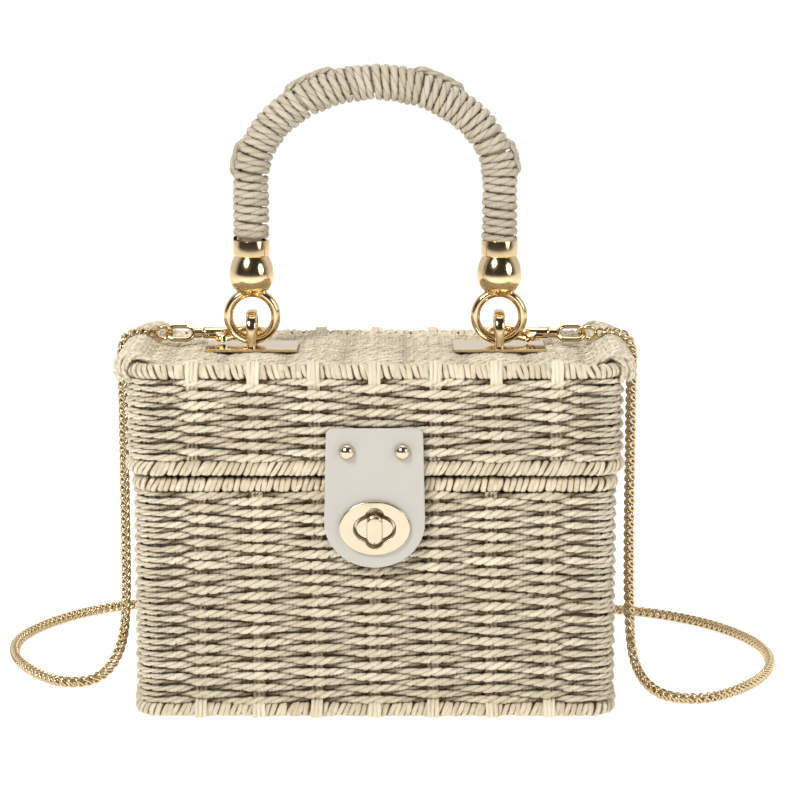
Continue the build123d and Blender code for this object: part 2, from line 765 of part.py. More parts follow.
with BuildPart() as lock_washer:
    with BuildSketch(Plane.XZ.offset(-prong_end)):
        with Locations((0, lock_z)):
            SlotOverall(lock_washer_width, lock_washer_height)
        with Locations((-prong_spacing / 2, lock_z), (prong_spacing / 2, lock_z)):
            Circle(prong_dia / 2 + pin_clearance, mode=Mode.SUBTRACT)
    extrude(amount=lock_washer_thickness)
save(lock_washer, "lock_washer")

with BuildPart() as turn_button:
    with BuildSketch(Plane.XZ.offset(-toggle_back_y)):
        with Locations((0, lock_z)):
            SlotOverall(toggle_length, toggle_width, rotation=90)
    extrude(amount=toggle_thickness)
    fillet(turn_button.edges().group_by(Axis.Y)[0], toggle_thickness / 3)
    with BuildSketch(Plane.XZ.offset(-(boss_face_y + shaft_depth))):
        with Locations((0, lock_z)):
            Circle(toggle_shaft_dia / 2)
    extrude(amount=boss_face_y + shaft_depth - toggle_back_y)
save(turn_button, "turn_button")

# --- chain strap: straight runs joined by tangent arcs ----------------------------------------
chain_start = hook_x + jump_end + chain_gap
chain_split = (lid_base + body_height) / 2

left_upper = [
    (-chain_start, staple_leg_y, hook_z),
    (-103.5, 7.6, 153.2),
    (-108.2, 6.0, 147.5),
    (-107.2, 3.0, 133.0),
    (-107.2, 3.0, chain_split),
]
lower = [
    (-107.2, 3.0, chain_split),
    (-107.2, 3.0, 71.0),
    (-107.2, 2.6, 38.0),
    (-109.2, 3.4, 16.0),
    (-118.5, 1.6, 2.1),
    (-133.5, -5.5, 2.1),
    (-149.0, 11.0, 2.1),
    (-162.0, 38.0, 2.1),
    (-165.0, 70.0, 2.1),
    (-153.0, 101.0, 2.1),
    (-132.0, 126.0, 2.1),
    (-104.0, 138.0, 2.1),
    (-76.0, 130.0, 2.1),
    (-54.0, 108.0, 2.1),
    (-27.0, 92.0, 2.1),
    (4.0, 94.0, 2.1),
    (31.0, 110.0, 2.1),
    (59.0, 125.0, 2.1),
    (92.0, 128.0, 2.1),
    (122.0, 121.0, 2.1),
    (149.0, 103.0, 2.1),
    (168.0, 76.0, 2.1),
    (176.0, 46.0, 2.1),
    (172.0, 14.0, 2.1),
    (156.0, -14.0, 2.1),
    (136.0, -31.0, 2.1),
    (118.0, -22.0, 2.1),
    (110.0, -6.0, 11.0),
    (108.8, 1.5, 32.0),
    (108.4, 2.8, 67.0),
    (108.4, 2.8, chain_split),
]
right_upper = [
    (108.4, 2.8, chain_split),
    (108.4, 2.8, 132.5),
    (109.0, 5.2, 147.2),
    (104.0, 7.4, 153.4),
    (chain_start, staple_leg_y, hook_z),
]


def chain_tube(points, name):
    """A chain's envelope along its route, each arc as large as its two runs allow."""
    places = [Vector(*p) for p in points]
    runs = [b - a for a, b in zip(places, places[1:])]
    radii = []
    for one, two in zip(runs, runs[1:]):
        bend = math.radians(one.get_angle(two))
        radii.append(bend_share * min(one.length, two.length) / math.tan(bend / 2))
    with BuildPart() as tube:
        with BuildLine() as line:
            FilletPolyline(*points, radius=radii)
        path = line.wire()
        with BuildSketch(Plane(origin=path @ 0, z_dir=path % 0)):
            Circle(chain_dia / 2)
        sweep(path=path)
    section = math.pi * (chain_dia / 2) ** 2
    share = tube.part.volume / (section * path.length)
    print(f"{name}: {path.length:.1f} mm, volume over section times length {share:.4f}")
    print("  runs", [round(run.length, 1) for run in runs])
    print("  radii", [round(radius, 1) for radius in radii])
    save(tube, name)
    return path.length


total = chain_tube(left_upper, "chain_upper_left")
total += chain_tube(lower, "chain_lower")
total += chain_tube(right_upper, "chain_upper_right")
print(f"chain strap {total:.0f} mm; hinge at y {hinge_y:.2f} z {hinge_z:.2f}")
print(f"handle axis z {ring_z - ring_radius:.2f}, hook origin {hook_x:.2f} z {hook_z:.2f}")
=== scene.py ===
"""Straw box bag: every rope, stake, wrap, link and fitting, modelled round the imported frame.

Lengths are metres. X runs to the right, Y to the back and Z up.
"""

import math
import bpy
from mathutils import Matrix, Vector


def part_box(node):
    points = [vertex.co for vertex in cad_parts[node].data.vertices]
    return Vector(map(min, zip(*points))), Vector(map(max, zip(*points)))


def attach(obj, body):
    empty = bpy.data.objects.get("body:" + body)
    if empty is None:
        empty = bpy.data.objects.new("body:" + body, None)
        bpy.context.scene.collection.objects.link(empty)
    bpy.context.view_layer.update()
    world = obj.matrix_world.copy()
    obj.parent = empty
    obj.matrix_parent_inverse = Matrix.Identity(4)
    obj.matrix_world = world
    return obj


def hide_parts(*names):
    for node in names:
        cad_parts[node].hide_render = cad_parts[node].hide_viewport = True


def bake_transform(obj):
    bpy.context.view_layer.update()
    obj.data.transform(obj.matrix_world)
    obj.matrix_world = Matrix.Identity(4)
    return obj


bl_info = {
    "name": "Straw Box Bag",
    "version": (1, 0, 0),
    "blender": (4, 5, 0),
    "location": "View3D > Sidebar > Bag",
    "description": "Models the ropes, leather, chain and fittings of a straw box bag",
    "category": "Add Mesh",
}

import bmesh
import bpy
import numpy as np
from bpy.props import FloatProperty, FloatVectorProperty, IntProperty, PointerProperty
from mathutils import Matrix, Vector

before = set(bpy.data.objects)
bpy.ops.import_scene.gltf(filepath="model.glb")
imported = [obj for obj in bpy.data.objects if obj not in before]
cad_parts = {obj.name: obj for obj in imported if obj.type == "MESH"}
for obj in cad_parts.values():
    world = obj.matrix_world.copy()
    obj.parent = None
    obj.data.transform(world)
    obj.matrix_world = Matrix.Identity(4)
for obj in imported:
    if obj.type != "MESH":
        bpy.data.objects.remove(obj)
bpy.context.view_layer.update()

MM = 0.001
TURN = 2 * math.pi
WALL = 6.0 * MM  # woven wall: rope, stake, rope
BODY_CORNER = 12.0 * MM
LID_CORNER = 14.5 * MM
RIM_RADIUS = 3.1 * MM
STAKE_IN = -0.9 * MM  # the stakes' strands, from the wall's middle
STAKE_WRAP = RIM_RADIUS + 0.55 * MM  # from a rim's middle to the strands bent round it
STRANDS = (-1, 0, 1)  # places of a stake's strands, counted from its middle
STRAND_PITCH = 1.75  # from one strand to the next, in strand radii
STRAND_FLAT = 0.8  # a strand's thickness over its width
LEAST_PAINTED_SHADE = 0.02  # least painted shade (the deep attribute) on woven rope, which marks it as weave
UP = np.array([0.0, 0.0, 1.0])
ACROSS = np.array([1.0, 0.0, 0.0])
BACK = np.array([0.0, 1.0, 0.0])
SIDES = {"left": -1, "right": 1}
CORNERS = ((1, -1), (1, 1), (-1, 1), (-1, -1))  # anticlockwise from the front right


# --- sizes and colours ------------------------------------------------------------------------
def length(name, description, default):
    """A length that a user may change, in metres."""
    return FloatProperty(
        name=name, description=description, default=default, min=0.0, precision=5, unit="LENGTH"
    )


def colour(name, description, default):
    """A linear colour that a user may change."""
    return FloatVectorProperty(
        name=name, description=description, default=default, size=3, min=0.0, max=1.0, subtype="COLOR"
    )


class BagWeave(bpy.types.PropertyGroup):
    rope_height: length("Rope height", "Half height of a rope where it passes outside a stake", 1.92 * MM)
    rope_depth: length("Rope depth", "Half thickness of a rope through the wall", 1.62 * MM)
    corner_reach: length("Corner reach", "From a corner to where the rows beside it part", 13.5 * MM)
    row_pitch: length("Row pitch", "Height from one row of rope to the next", 2.46 * MM)
    ply_pitch: length("Ply pitch", "Length of one full turn of a rope's two plies", 10.6 * MM)
    swing: length("Swing", "How far a rope's middle passes outside or inside the stakes", 1.55 * MM)
    body_spacing: length("Body stake spacing", "From one stake to the next on the basket", 24.0 * MM)
    lid_spacing: length("Lid stake spacing", "From one stake to the next on the lid", 24.6 * MM)
    stake_radius: length("Stake strand", "Half width of each strand of a stake", 0.95 * MM)
    rim_pitch: length("Rim wrap pitch", "From one turn of a rim's wrap to the next", 2.35 * MM)
    step: length("Step", "Length of one straight step of a modelled rope", 1.5 * MM)
    seed: IntProperty(name="Seed", description="Starts the random unevenness", default=11)


class BagHandle(bpy.types.PropertyGroup):
    pitch: length("Wrap pitch", "From one turn of the wrap to the next", 3.4 * MM)
    rope_width: length("Rope width", "Half width of the wrap's rope along the handle", 1.78 * MM)
    rope_depth: length("Rope depth", "Half thickness of the wrap's rope", 1.4 * MM)
    ply_pitch: length("Ply pitch", "Length of one full turn of the two plies", 13.0 * MM)
    accent_radius: length("Outer cord", "Half width of the cord along the outside of the arch", 1.85 * MM)


class BagStrap(bpy.types.PropertyGroup):
    pitch: length("Link pitch", "From one link to the next", 1.72 * MM)
    wire: length("Link wire", "Half thickness of a link's wire", 0.64 * MM)
    long_radius: length("Link length", "Half length of a link's middle line", 2.55 * MM)
    short_radius: length("Link width", "Half width of a link's middle line", 1.9 * MM)


class BagColours(bpy.types.PropertyGroup):
    straw: colour("Straw", "Lit side of the rope", (0.83, 0.742, 0.575))
    straw_warm: colour("Straw, warm", "Yellower fibres", (0.75, 0.62, 0.40))
    # Painted shade colour: a brown that stands for the shade in the ply creases and far inside the weave, not
    # the rope's own colour.
    straw_painted_shade: colour("Straw, deep", "Rope far inside the weave", (0.135, 0.074, 0.018))
    gold: colour("Gold", "Plating of the fittings", (0.80, 0.62, 0.36))
    champagne: colour("Champagne", "Plating of the lock", (0.66, 0.565, 0.41))
    leather: colour("Leather", "Face of the tab", (0.53, 0.505, 0.445))
    leather_edge: colour("Leather edge", "Paint on the tab's edge", (0.66, 0.635, 0.575))
    cloth: colour("Lining", "Cotton lining", (0.70, 0.63, 0.49))
    floor: colour("Floor", "Studio floor", (0.66, 0.66, 0.66))


# --- shaders ----------------------------------------------------------------------------------
class Signal:
    """A socket whose value can be used in ordinary arithmetic."""

    def __init__(self, tree, socket):
        self.tree = tree
        self.socket = socket

    def math(self, operation, *values):
        node = self.tree.nodes.new("ShaderNodeMath")
        node.operation = operation
        for place, value in enumerate(values):
            if isinstance(value, Signal):
                self.tree.links.new(value.socket, node.inputs[place])
            else:
                node.inputs[place].default_value = value
        return Signal(self.tree, node.outputs[0])

    def __add__(self, other):
        return self.math("ADD", self, other)

    def __radd__(self, other):
        return self.math("ADD", other, self)

    def __sub__(self, other):
        return self.math("SUBTRACT", self, other)

    def __rsub__(self, other):
        return self.math("SUBTRACT", other, self)

    def __mul__(self, other):
        return self.math("MULTIPLY", self, other)

    def __abs__(self):
        return self.math("ABSOLUTE", self)

    def sine(self):
        return self.math("SINE", self)

    def cosine(self):
        return self.math("COSINE", self)

    def clamped(self):
        node = self.tree.nodes.new("ShaderNodeClamp")
        self.tree.links.new(self.socket, node.inputs[0])
        return Signal(self.tree, node.outputs[0])


class Finish:
    """One material, made node by node."""

    def __init__(self, name):
        self.material = bpy.data.materials.new(name)
        self.material.use_nodes = True
        self.tree = self.material.node_tree
        self.shader = self.tree.nodes["Principled BSDF"]

    def node(self, kind, settings=None, sockets=None, output=0):
        node = self.tree.nodes.new("ShaderNode" + kind)
        for key, value in (settings or {}).items():
            setattr(node, key, value)
        for key, value in (sockets or {}).items():
            self.feed(node.inputs[key], value)
        return Signal(self.tree, node.outputs[output])

    def feed(self, socket, value):
        if isinstance(value, Signal):
            self.tree.links.new(value.socket, socket)
        elif hasattr(value, "__len__") and len(value) == 3 and socket.type == "RGBA":
            socket.default_value = (*value, 1.0)
        else:
            socket.default_value = value

    def put(self, **sockets):
        for key, value in sockets.items():
            self.feed(self.shader.inputs[key.replace("_", " ")], value)

    def blend(self, factor, one, two):
        """From colour one to colour two."""
        return self.node("Mix", {"data_type": "RGBA"}, {0: factor, 6: one, 7: two}, output=2)

    def between(self, value, low, high):
        """Smooth step of a value from low to high."""
        return self.node(
            "MapRange",
            {"interpolation_type": "SMOOTHSTEP"},
            {"Value": value, "From Min": low, "From Max": high},
        )

    def place(self):
        """Object coordinates."""
        return self.node("TexCoord", output=3)

    def axes(self, vector):
        """A vector's x, y and z."""
        x = self.node("SeparateXYZ", None, {0: vector})
        return [Signal(self.tree, output) for output in x.socket.node.outputs]

    def stretched(self, x, y, z):
        return self.node("CombineXYZ", None, {0: x, 1: y, 2: z})

    def noise(self, vector, scale, detail=3.0, roughness=0.55):
        return self.node(
            "TexNoise",
            None,
            {"Vector": vector, "Scale": scale, "Detail": detail, "Roughness": roughness},
        )

    def relief(self, height, strength, distance):
        """Bump from a height, fed to the shader."""
        bump = self.node("Bump", None, {"Height": height, "Strength": strength, "Distance": distance})
        self.put(Normal=bump)


def straw_finish(name, colours, value=1.0):
    """Twisted paper straw: fibres along each ply, painted shade darkening the creases, and brown painted shade
    far inside the weave.
    """
    made = Finish(name)
    along, around, _ = made.axes(made.node("UVMap", {"uv_map": "along"}))
    shade = made.node("Attribute", {"attribute_name": "shade"}, output=2)
    deep = made.node("Attribute", {"attribute_name": "deep"}, output=2)
    fibre = made.noise(made.stretched(along * 160.0, around * 26.0, shade * 37.0), 1.0, 4.0, 0.6)
    streak = made.noise(made.stretched(along * 45.0, around * 7.0, shade * 91.0), 1.0, 2.0)
    patch = made.noise(made.place(), 45.0, 2.0)
    crease = made.between(1.0 - abs((around * TURN).cosine()), 0.62, 1.0)
    fibre_tone, streak_tone = made.between(fibre, 0.35, 0.72), made.between(streak, 0.4, 0.7)
    warm = (fibre_tone * 0.5 + streak_tone * 0.45 + (patch - 0.5) * 0.5).clamped()
    tone = made.blend(warm * 0.8, colours.straw, colours.straw_warm)
    brightness = (0.88 + shade * 0.22 + fibre * 0.22) * value
    pale = made.node(
        "HueSaturation", None, {"Value": brightness, "Saturation": 1.08 - shade * 0.16, "Color": tone}
    )
    # painted shade: rope far inside the weave, by the deep attribute, fades to the brown shade colour
    deep_shaded_tone = made.blend(made.between(deep, 0.2, 0.66), pale, colours.straw_painted_shade)
    # painted shade: the ply creases are darkened toward the brown shade colour
    crease_shaded = made.blend(crease * 0.42, deep_shaded_tone, colours.straw_painted_shade)
    made.put(Base_Color=crease_shaded, Roughness=0.42 + fibre * 0.3)
    made.shader.inputs["Sheen Weight"].default_value = 0.12
    made.shader.inputs["Specular IOR Level"].default_value = 0.42
    ridge = made.noise(made.stretched(along * 60.0, around * 40.0, shade * 13.0), 1.0, 3.0, 0.65)
    made.relief(ridge * 0.7 + fibre * 0.3 - crease * 0.4, 0.8, 0.0006)
    return made.material


def metal_finish(name, tint, roughness, wear):
    """Plated metal with faint polish marks and softer patches."""
    made = Finish(name)
    place = made.place()
    marks = made.noise(place, 900.0, 3.0, 0.7)
    cloud = made.noise(place, 120.0, 2.0)
    tone = made.blend(made.between(cloud, 0.45, 0.8) * wear, tint, [c * 0.82 for c in tint])
    made.put(Base_Color=tone, Metallic=1.0, Roughness=roughness + (marks - 0.4) * 0.08)
    made.relief(marks, 0.04, 0.0001)
    return made.material


def leather_finish(name, colours):
    """Coated leather: faint grain, soft mottling, a paler painted edge."""
    made = Finish(name)
    place = made.place()
    grain = made.node("TexVoronoi", None, {"Vector": place, "Scale": 1500.0})
    cloud = made.noise(place, 60.0, 3.0)
    _, forward, _ = made.axes(made.node("NewGeometry", output=1))
    edge = 1.0 - made.between(abs(forward), 0.5, 0.9)
    darker = [c * 0.93 for c in colours.leather]
    tone = made.blend(made.between(cloud, 0.35, 0.7) * 0.35, colours.leather, darker)
    painted = made.blend(edge, tone, colours.leather_edge)
    made.put(Base_Color=painted, Roughness=0.44 + (cloud - 0.5) * 0.2)
    made.relief(grain * 0.5 + cloud * 0.5, 0.18, 0.0002)
    return made.material


def cloth_finish(name, tint):
    """Plain woven cotton."""
    made = Finish(name)
    place = made.place()
    x, y, z = made.axes(place)
    threads = ((x + y) * 7000.0).sine() * (z * 7000.0 + (x - y) * 2500.0).sine()
    cloud = made.noise(place, 50.0, 3.0)
    made.put(
        Base_Color=made.blend(made.between(cloud, 0.3, 0.7), tint, [c * 0.88 for c in tint]),
        Roughness=0.85 + (cloud - 0.5) * 0.1,
    )
    made.relief(threads * 0.5 + cloud, 0.25, 0.0004)
    return made.material


def finishes(context):
    """Every material by name, made once."""
    colours = context.scene.bag_colours
    if "straw rope" not in bpy.data.materials:
        straw_finish("straw rope", colours)
        straw_finish("handle rope", colours, 0.7)
        metal_finish("gold plating", list(colours.gold), 0.13, 0.5)
        metal_finish("chain plating", [c * 0.84 for c in colours.gold], 0.2, 0.8)
        metal_finish("champagne plating", list(colours.champagne), 0.2, 0.3)
        metal_finish("frame wire", [0.5, 0.47, 0.42], 0.4, 0.8)
        leather_finish("ivory leather", colours)
        cloth_finish("lining cotton", list(colours.cloth))
    return bpy.data.materials


# --- mesh helpers -----------------------------------------------------------------------------
def unit(rows):
    """Each row as a direction of length one."""
    return rows / np.linalg.norm(rows, axis=1)[:, None]


def tangents(path):
    return unit(np.gradient(path, axis=0))


def run_along(points):
    """Distance along a line from its first point to each point."""
    return np.concatenate([[0.0], np.cumsum(np.linalg.norm(np.diff(points, axis=0), axis=1))])


def smoothed(values, width):
    """Running mean."""
    return np.convolve(values, np.ones(width) / width, "same")


def add_object(name, data):
    made = bpy.data.objects.new(name, data)
    bpy.context.scene.collection.objects.link(made)
    return made


def middle_of(node):
    low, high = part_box(node)
    return (low + high) / 2


def rope_profile(crease=0.54):
    """Section of a two-ply rope, one unit in radius: two rounded plies and two creases."""
    angles = [0, 50, 90, 130, 180, 230, 270, 310]
    radii = [1.0, 0.95, crease, 0.95, 1.0, 0.95, crease, 0.95]
    return profile_of(angles, radii)


def profile_of(angles, radii):
    a = np.radians(angles)
    return np.stack([np.cos(a) * radii, np.sin(a) * radii], axis=1)


def round_profile(sides):
    return profile_of(np.arange(sides) * 360.0 / sides, np.ones(sides))


class Strands:
    """Gathers tubes of any section, and makes them one mesh with its own map and attributes."""

    def __init__(self):
        self.points, self.faces, self.uvs, self.shades, self.painted_shades = [], [], [], [], []
        self.total = 0

    def add(self, path, side, up, profile, depth, height, twist=0.0, closed=False, shade=0.5, deep=0.0):
        """side and up span the section at each point; depth is along side and height along up."""
        count, corners = len(path), len(profile)
        ones = np.ones(count)
        depth, height, twist = depth * ones, height * ones, twist * ones
        c, s = np.cos(twist)[:, None], np.sin(twist)[:, None]
        out = (c * profile[:, 0] - s * profile[:, 1]) * depth[:, None]
        rise = (s * profile[:, 0] + c * profile[:, 1]) * height[:, None]
        ring = path[:, None, :] + out[..., None] * side[:, None, :] + rise[..., None] * up[:, None, :]
        self.points.append(ring.reshape(-1, 3))
        spans = count if closed else count - 1
        i, j = np.meshgrid(np.arange(spans), np.arange(corners), indexing="ij")
        i2, j2 = (i + 1) % count, (j + 1) % corners
        tangent = path[1] - path[0]
        forward = float(np.dot(np.cross(side[0], up[0]), tangent)) > 0
        order = [(i, j), (i, j2), (i2, j2), (i2, j)]
        run = run_along(np.concatenate([path, path[:1]]))
        uv = [(i, j), (i, j + 1), (i + 1, j + 1), (i + 1, j)]
        if not forward:
            order, uv = [order[0], *order[:0:-1]], [uv[0], *uv[:0:-1]]
        quads = np.stack([a * corners + b for a, b in order], axis=-1).reshape(-1, 4) + self.total
        self.faces.append(quads)
        flat = [np.stack([run[a], b / corners], axis=-1) for a, b in uv]
        self.uvs.append(np.stack(flat, axis=-2).reshape(-1, 2))
        self.shades.append(np.full(count * corners, shade))
        # deep sets painted shade: how far each point is darkened toward the brown shade colour, more on the
        # tube's inner side
        level = np.asarray(deep) * ones
        sunk = level[:, None] - out / (2 * WALL) if np.any(level) else np.zeros(out.shape)
        self.painted_shades.append(sunk.reshape(-1))
        self.total += count * corners

    def mesh(self, name):
        data = bpy.data.meshes.new(name)
        points, faces = np.concatenate(self.points), np.concatenate(self.faces)
        data.vertices.add(len(points))
        data.vertices.foreach_set("co", points.astype(np.float32).ravel())
        data.loops.add(faces.size)
        data.loops.foreach_set("vertex_index", faces.astype(np.int32).ravel())
        data.polygons.add(len(faces))
        data.polygons.foreach_set("loop_start", np.arange(0, faces.size, 4, dtype=np.int32))
        data.update(calc_edges=True)
        uv = data.uv_layers.new(name="along")
        uv.data.foreach_set("uv", np.concatenate(self.uvs).astype(np.float32).ravel())
        for label, values in (("shade", self.shades), ("deep", self.painted_shades)):
            attribute = data.attributes.new(label, "FLOAT", "POINT")
            attribute.data.foreach_set("value", np.concatenate(values).astype(np.float32))
        data.polygons.foreach_set("use_smooth", np.ones(len(faces), dtype=bool))
        data.validate()
        return add_object(name, data)


def dress(made, body, slot, material, *nodes):
    """Gives a finished piece its material, its body and the CAD nodes that it stands for."""
    made.data.materials.clear()
    made.data.materials.append(finishes(bpy.context)[material])
    if nodes:
        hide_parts(*nodes)
    if body:
        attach(made, body)
    return made


def stand_on_floor(made):
    """Flattens whatever would reach below the surface that the bag stands on."""
    for vertex in made.data.vertices:
        vertex.co.z = max(vertex.co.z, 0.0)


def deselect():
    if bpy.context.object and bpy.context.object.mode != "OBJECT":
        bpy.ops.object.mode_set(mode="OBJECT")
    bpy.ops.object.select_all(action="DESELECT")


def choose(made):
    deselect()
    made.select_set(True)
    bpy.context.view_layer.objects.active = made


def settle(made):
    """Puts the piece's place into its mesh and leaves its object at the origin."""
    choose(made)
    bpy.ops.object.transform_apply(location=True, rotation=True, scale=True)
    return made


class Loop:
    """Rounded rectangle seen from above, run anticlockwise from the middle of the front."""

    def __init__(self, half_x, half_y, radius):
        corner = np.linspace(0, math.pi / 2, 60)
        points, normals = [], []
        for turn, (x, y) in enumerate(CORNERS):
            angle = corner + (turn - 1) * math.pi / 2
            facing = np.stack([np.cos(angle), np.sin(angle)], axis=1)
            centre = np.array([x * (half_x - radius), y * (half_y - radius)])
            points.append(centre + radius * facing)
            normals.append(facing)
        start = np.array([[0.0, -half_y]])
        self.points = np.concatenate([start, *points, start])
        self.normals = np.concatenate([[[0.0, -1.0]], *normals, [[0.0, -1.0]]])
        self.run = run_along(self.points)
        self.length = float(self.run[-1])
        self.corners = [self.nearest(x * half_x, y * half_y) for x, y in CORNERS]

    def nearest(self, x, y):
        """Distance along the loop of the place nearest to x, y."""
        dense = np.linspace(0, self.length, 4000)
        places, _ = self.at(dense)
        return float(dense[np.argmin(np.hypot(places[:, 0] - x, places[:, 1] - y))])

    def at(self, s):
        """Places and outward directions at distances along the loop, as three columns."""
        s = np.mod(s, self.length)
        place, facing = (
            np.stack([np.interp(s, self.run, values[:, k]) for k in (0, 1)] + [0 * s], axis=1)
            for values in (self.points, self.normals)
        )
        return place, unit(facing)


def loop_of(node, corner, inset):
    low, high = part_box(node)
    return Loop((high.x - low.x) / 2 - inset, (high.y - low.y) / 2 - inset, corner - inset)


def eased(t):
    return (1 - np.cos(math.pi * t)) / 2


def drift(rng, count, length_, s, size):
    """Slow uneven wander along a closed run."""
    waves = sum(
        np.sin(TURN * k * s / length_ + rng.uniform(0, TURN)) * rng.uniform(0.4, 1.0) for k in (2, 5, 9, 14)
    )
    return size * waves / count


# --- woven walls ------------------------------------------------------------------------------
def stake_places(loop, spacing, half_x, half_y):
    """Distances along the loop of the stakes on the four walls."""
    front = [k * spacing for k in range(-3, 4)]
    side = [k * spacing for k in (-1, 0, 1)]
    places = [loop.nearest(x, -half_y) for x in front]
    places += [loop.nearest(half_x, y) for y in side]
    places += [loop.nearest(x, half_y) for x in reversed(front)]
    places += [loop.nearest(-half_x, y) for y in reversed(side)]
    return places


def weave_wall(strands, loop, low, high, spacing, weave, rng, rows=None):
    """Rows of rope that pass outside and inside the stakes by turns, and outside at the corners."""
    stakes = stake_places(loop, spacing, abs(loop.points[:, 0]).max(), abs(loop.points[:, 1]).max())
    count = round((high - low) / weave.row_pitch)
    pitch = (high - low) / count
    beside = [c + side * weave.corner_reach for c in loop.corners for side in (-1, 1)]
    kinds = {"stake": stakes, "beside": beside, "corner": loop.corners}
    knots = sorted((s, kind) for kind, places in kinds.items() for s in places)
    steps = int(loop.length / weave.step)
    s = np.arange(steps) * loop.length / steps
    reach = {"stake": 1.0, "beside": 0.75, "corner": 0.8}  # shares of the swing
    size_at = {"stake": 1.0, "beside": 0.9, "corner": 0.68}  # shares of the rope's height
    thinner_between = 0.24
    wander_out, wander_up, wander_twist = 0.3 * MM, 0.9 * MM, 1.2
    painted_shade_at_middle = 0.42  # painted shade (the deep attribute) of a rope that runs along the wall's middle
    for row in range(count) if rows is None else rows:
        swings, halves, order = [], [], 0
        for _, kind in knots:
            outside = kind == "corner" or (row + order) % 2 == 0
            swings.append((1.0 if outside else -1.0) * reach[kind])
            halves.append(size_at[kind])
            order += kind != "corner"
        at = np.array([k[0] for k in knots])
        at = np.concatenate([[at[-1] - loop.length], at, [at[0] + loop.length]])
        swing = np.array([swings[-1], *swings, swings[0]])
        half = np.array([halves[-1], *halves, halves[0]])
        cell = np.clip(np.searchsorted(at, s, side="right") - 1, 0, len(at) - 2)
        t = (s - at[cell]) / (at[cell + 1] - at[cell])
        share = swing[cell] + (swing[cell + 1] - swing[cell]) * eased(t)
        size = half[cell] + (half[cell + 1] - half[cell]) * eased(t)
        size -= thinner_between * np.sin(math.pi * t) ** 2
        level = share * weave.swing + drift(rng, 4, loop.length, s, wander_out)
        z = low + (row + 0.5) * pitch + drift(rng, 4, loop.length, s, wander_up)
        place, facing = loop.at(s)
        path = place + facing * level[:, None] + UP * z[:, None]
        twist = TURN * np.round(loop.length / weave.ply_pitch) * s / loop.length + rng.uniform(0, TURN)
        twist += drift(rng, 4, loop.length, s, wander_twist)
        # painted shade: rope darkens as it passes inside the stakes
        deep = np.clip(painted_shade_at_middle - level / WALL, LEAST_PAINTED_SHADE, 1.0)
        strands.add(
            path, facing, np.tile(UP, (steps, 1)), rope_profile(), weave.rope_depth,
            weave.rope_height * size * rng.uniform(0.93, 1.05), twist, True, rng.uniform(0, 1), deep,
        )
    return stakes


def add_stakes(strands, loop, stakes, low, high, weave, rng, over_rim):
    """Three strands a stake, up the wall; over_rim says how each bends round a rim at its end."""
    for s in stakes:
        tilt = rng.uniform(-1.0, 1.0) * MM
        for strand in STRANDS:
            place, facing = loop.at(np.array([s + strand * STRAND_PITCH * weave.stake_radius]))
            place, facing = place[0], facing[0]
            lean = tilt + rng.uniform(-0.6, 0.6) * MM
            along = np.cross(UP, facing)
            wall = [(STAKE_IN, z) for z in np.linspace(low, high, 14)]
            points = np.array([place + facing * out + UP * z for out, z in over_rim(wall, rng)])
            points = points + along * np.linspace(-lean / 2, lean / 2, len(points))[:, None]
            across = np.tile(along, (len(points), 1))
            facings = np.cross(across, tangents(points))
            # painted shade: the strands are darkened where they run inside the wall
            strands.add(
                points, facings, across, round_profile(6), weave.stake_radius * STRAND_FLAT,
                weave.stake_radius * rng.uniform(0.9, 1.1), 0.0, False, rng.uniform(0.3, 1.0),
                np.where((points[:, 2] > low) & (points[:, 2] < high), 0.45, LEAST_PAINTED_SHADE),
            )


def hug(centre_out, centre_z, radius, start, end, count=10):
    """Places round a rim's section, as distance out from the wall's middle and height."""
    turn = np.radians(np.linspace(start, end, count))
    return [(centre_out + radius * math.cos(a), centre_z + radius * math.sin(a)) for a in turn]


class BAG_OT_body_wall(bpy.types.Operator):
    """Weaves the basket's wall"""

    bl_idname = "bag.body_wall"
    bl_label = "Basket wall"

    def execute(self, context):
        weave = context.scene.bag_weave
        rng = np.random.default_rng(weave.seed)
        low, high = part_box("body_weave")
        loop = loop_of("body_weave", BODY_CORNER, WALL / 2)
        count = round((high.z - low.z) / weave.row_pitch)
        for name, rows in (("low", range(count // 2)), ("high", range(count // 2, count))):
            strands = Strands()
            stakes = weave_wall(strands, loop, low.z, high.z, weave.body_spacing, weave, rng, rows)
            dress(strands.mesh("basket_rows_" + name), "basket", "straw_rope", "straw rope", "body_weave")
        _, rim_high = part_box("base_rim")
        centre_z = rim_high.z - RIM_RADIUS
        strands = Strands()

        def over_rim(wall, rng_):
            radius = STAKE_WRAP + rng_.uniform(0, 0.2) * MM
            under = hug(WALL / 2 - RIM_RADIUS, centre_z, radius, -52, 38)
            inside = (STAKE_IN, centre_z + RIM_RADIUS + 2.0 * MM)
            return under + [inside] + wall[2:]

        add_stakes(strands, loop, stakes, low.z, high.z, weave, rng, over_rim)
        made = strands.mesh("basket_stakes")
        stand_on_floor(made)
        dress(made, "basket", "straw_rope", "straw rope")
        return {"FINISHED"}


class BAG_OT_lid_wall(bpy.types.Operator):
    """Weaves the lid's wall"""

    bl_idname = "bag.lid_wall"
    bl_label = "Lid wall"

    def execute(self, context):
        weave = context.scene.bag_weave
        rng = np.random.default_rng(weave.seed + 1)
        low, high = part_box("lid_wall_weave")
        loop = loop_of("lid_wall_weave", LID_CORNER, WALL / 2)
        strands = Strands()
        stakes = weave_wall(strands, loop, low.z, high.z, weave.lid_spacing, weave, rng)
        dress(strands.mesh("lid_rows"), "lid", "straw_rope", "straw rope", "lid_wall_weave")
        centre_z = middle_of("lid_top_rim").z
        strands = Strands()

        def over_rim(wall, rng_):
            radius = STAKE_WRAP + rng_.uniform(0, 0.2) * MM
            over = hug(WALL / 2 - RIM_RADIUS, centre_z, radius, -38, 150, 16)
            return wall[:-2] + over

        add_stakes(strands, loop, stakes, low.z, high.z, weave, rng, over_rim)
        dress(strands.mesh("lid_stakes"), "lid", "straw_rope", "straw rope")
        return {"FINISHED"}


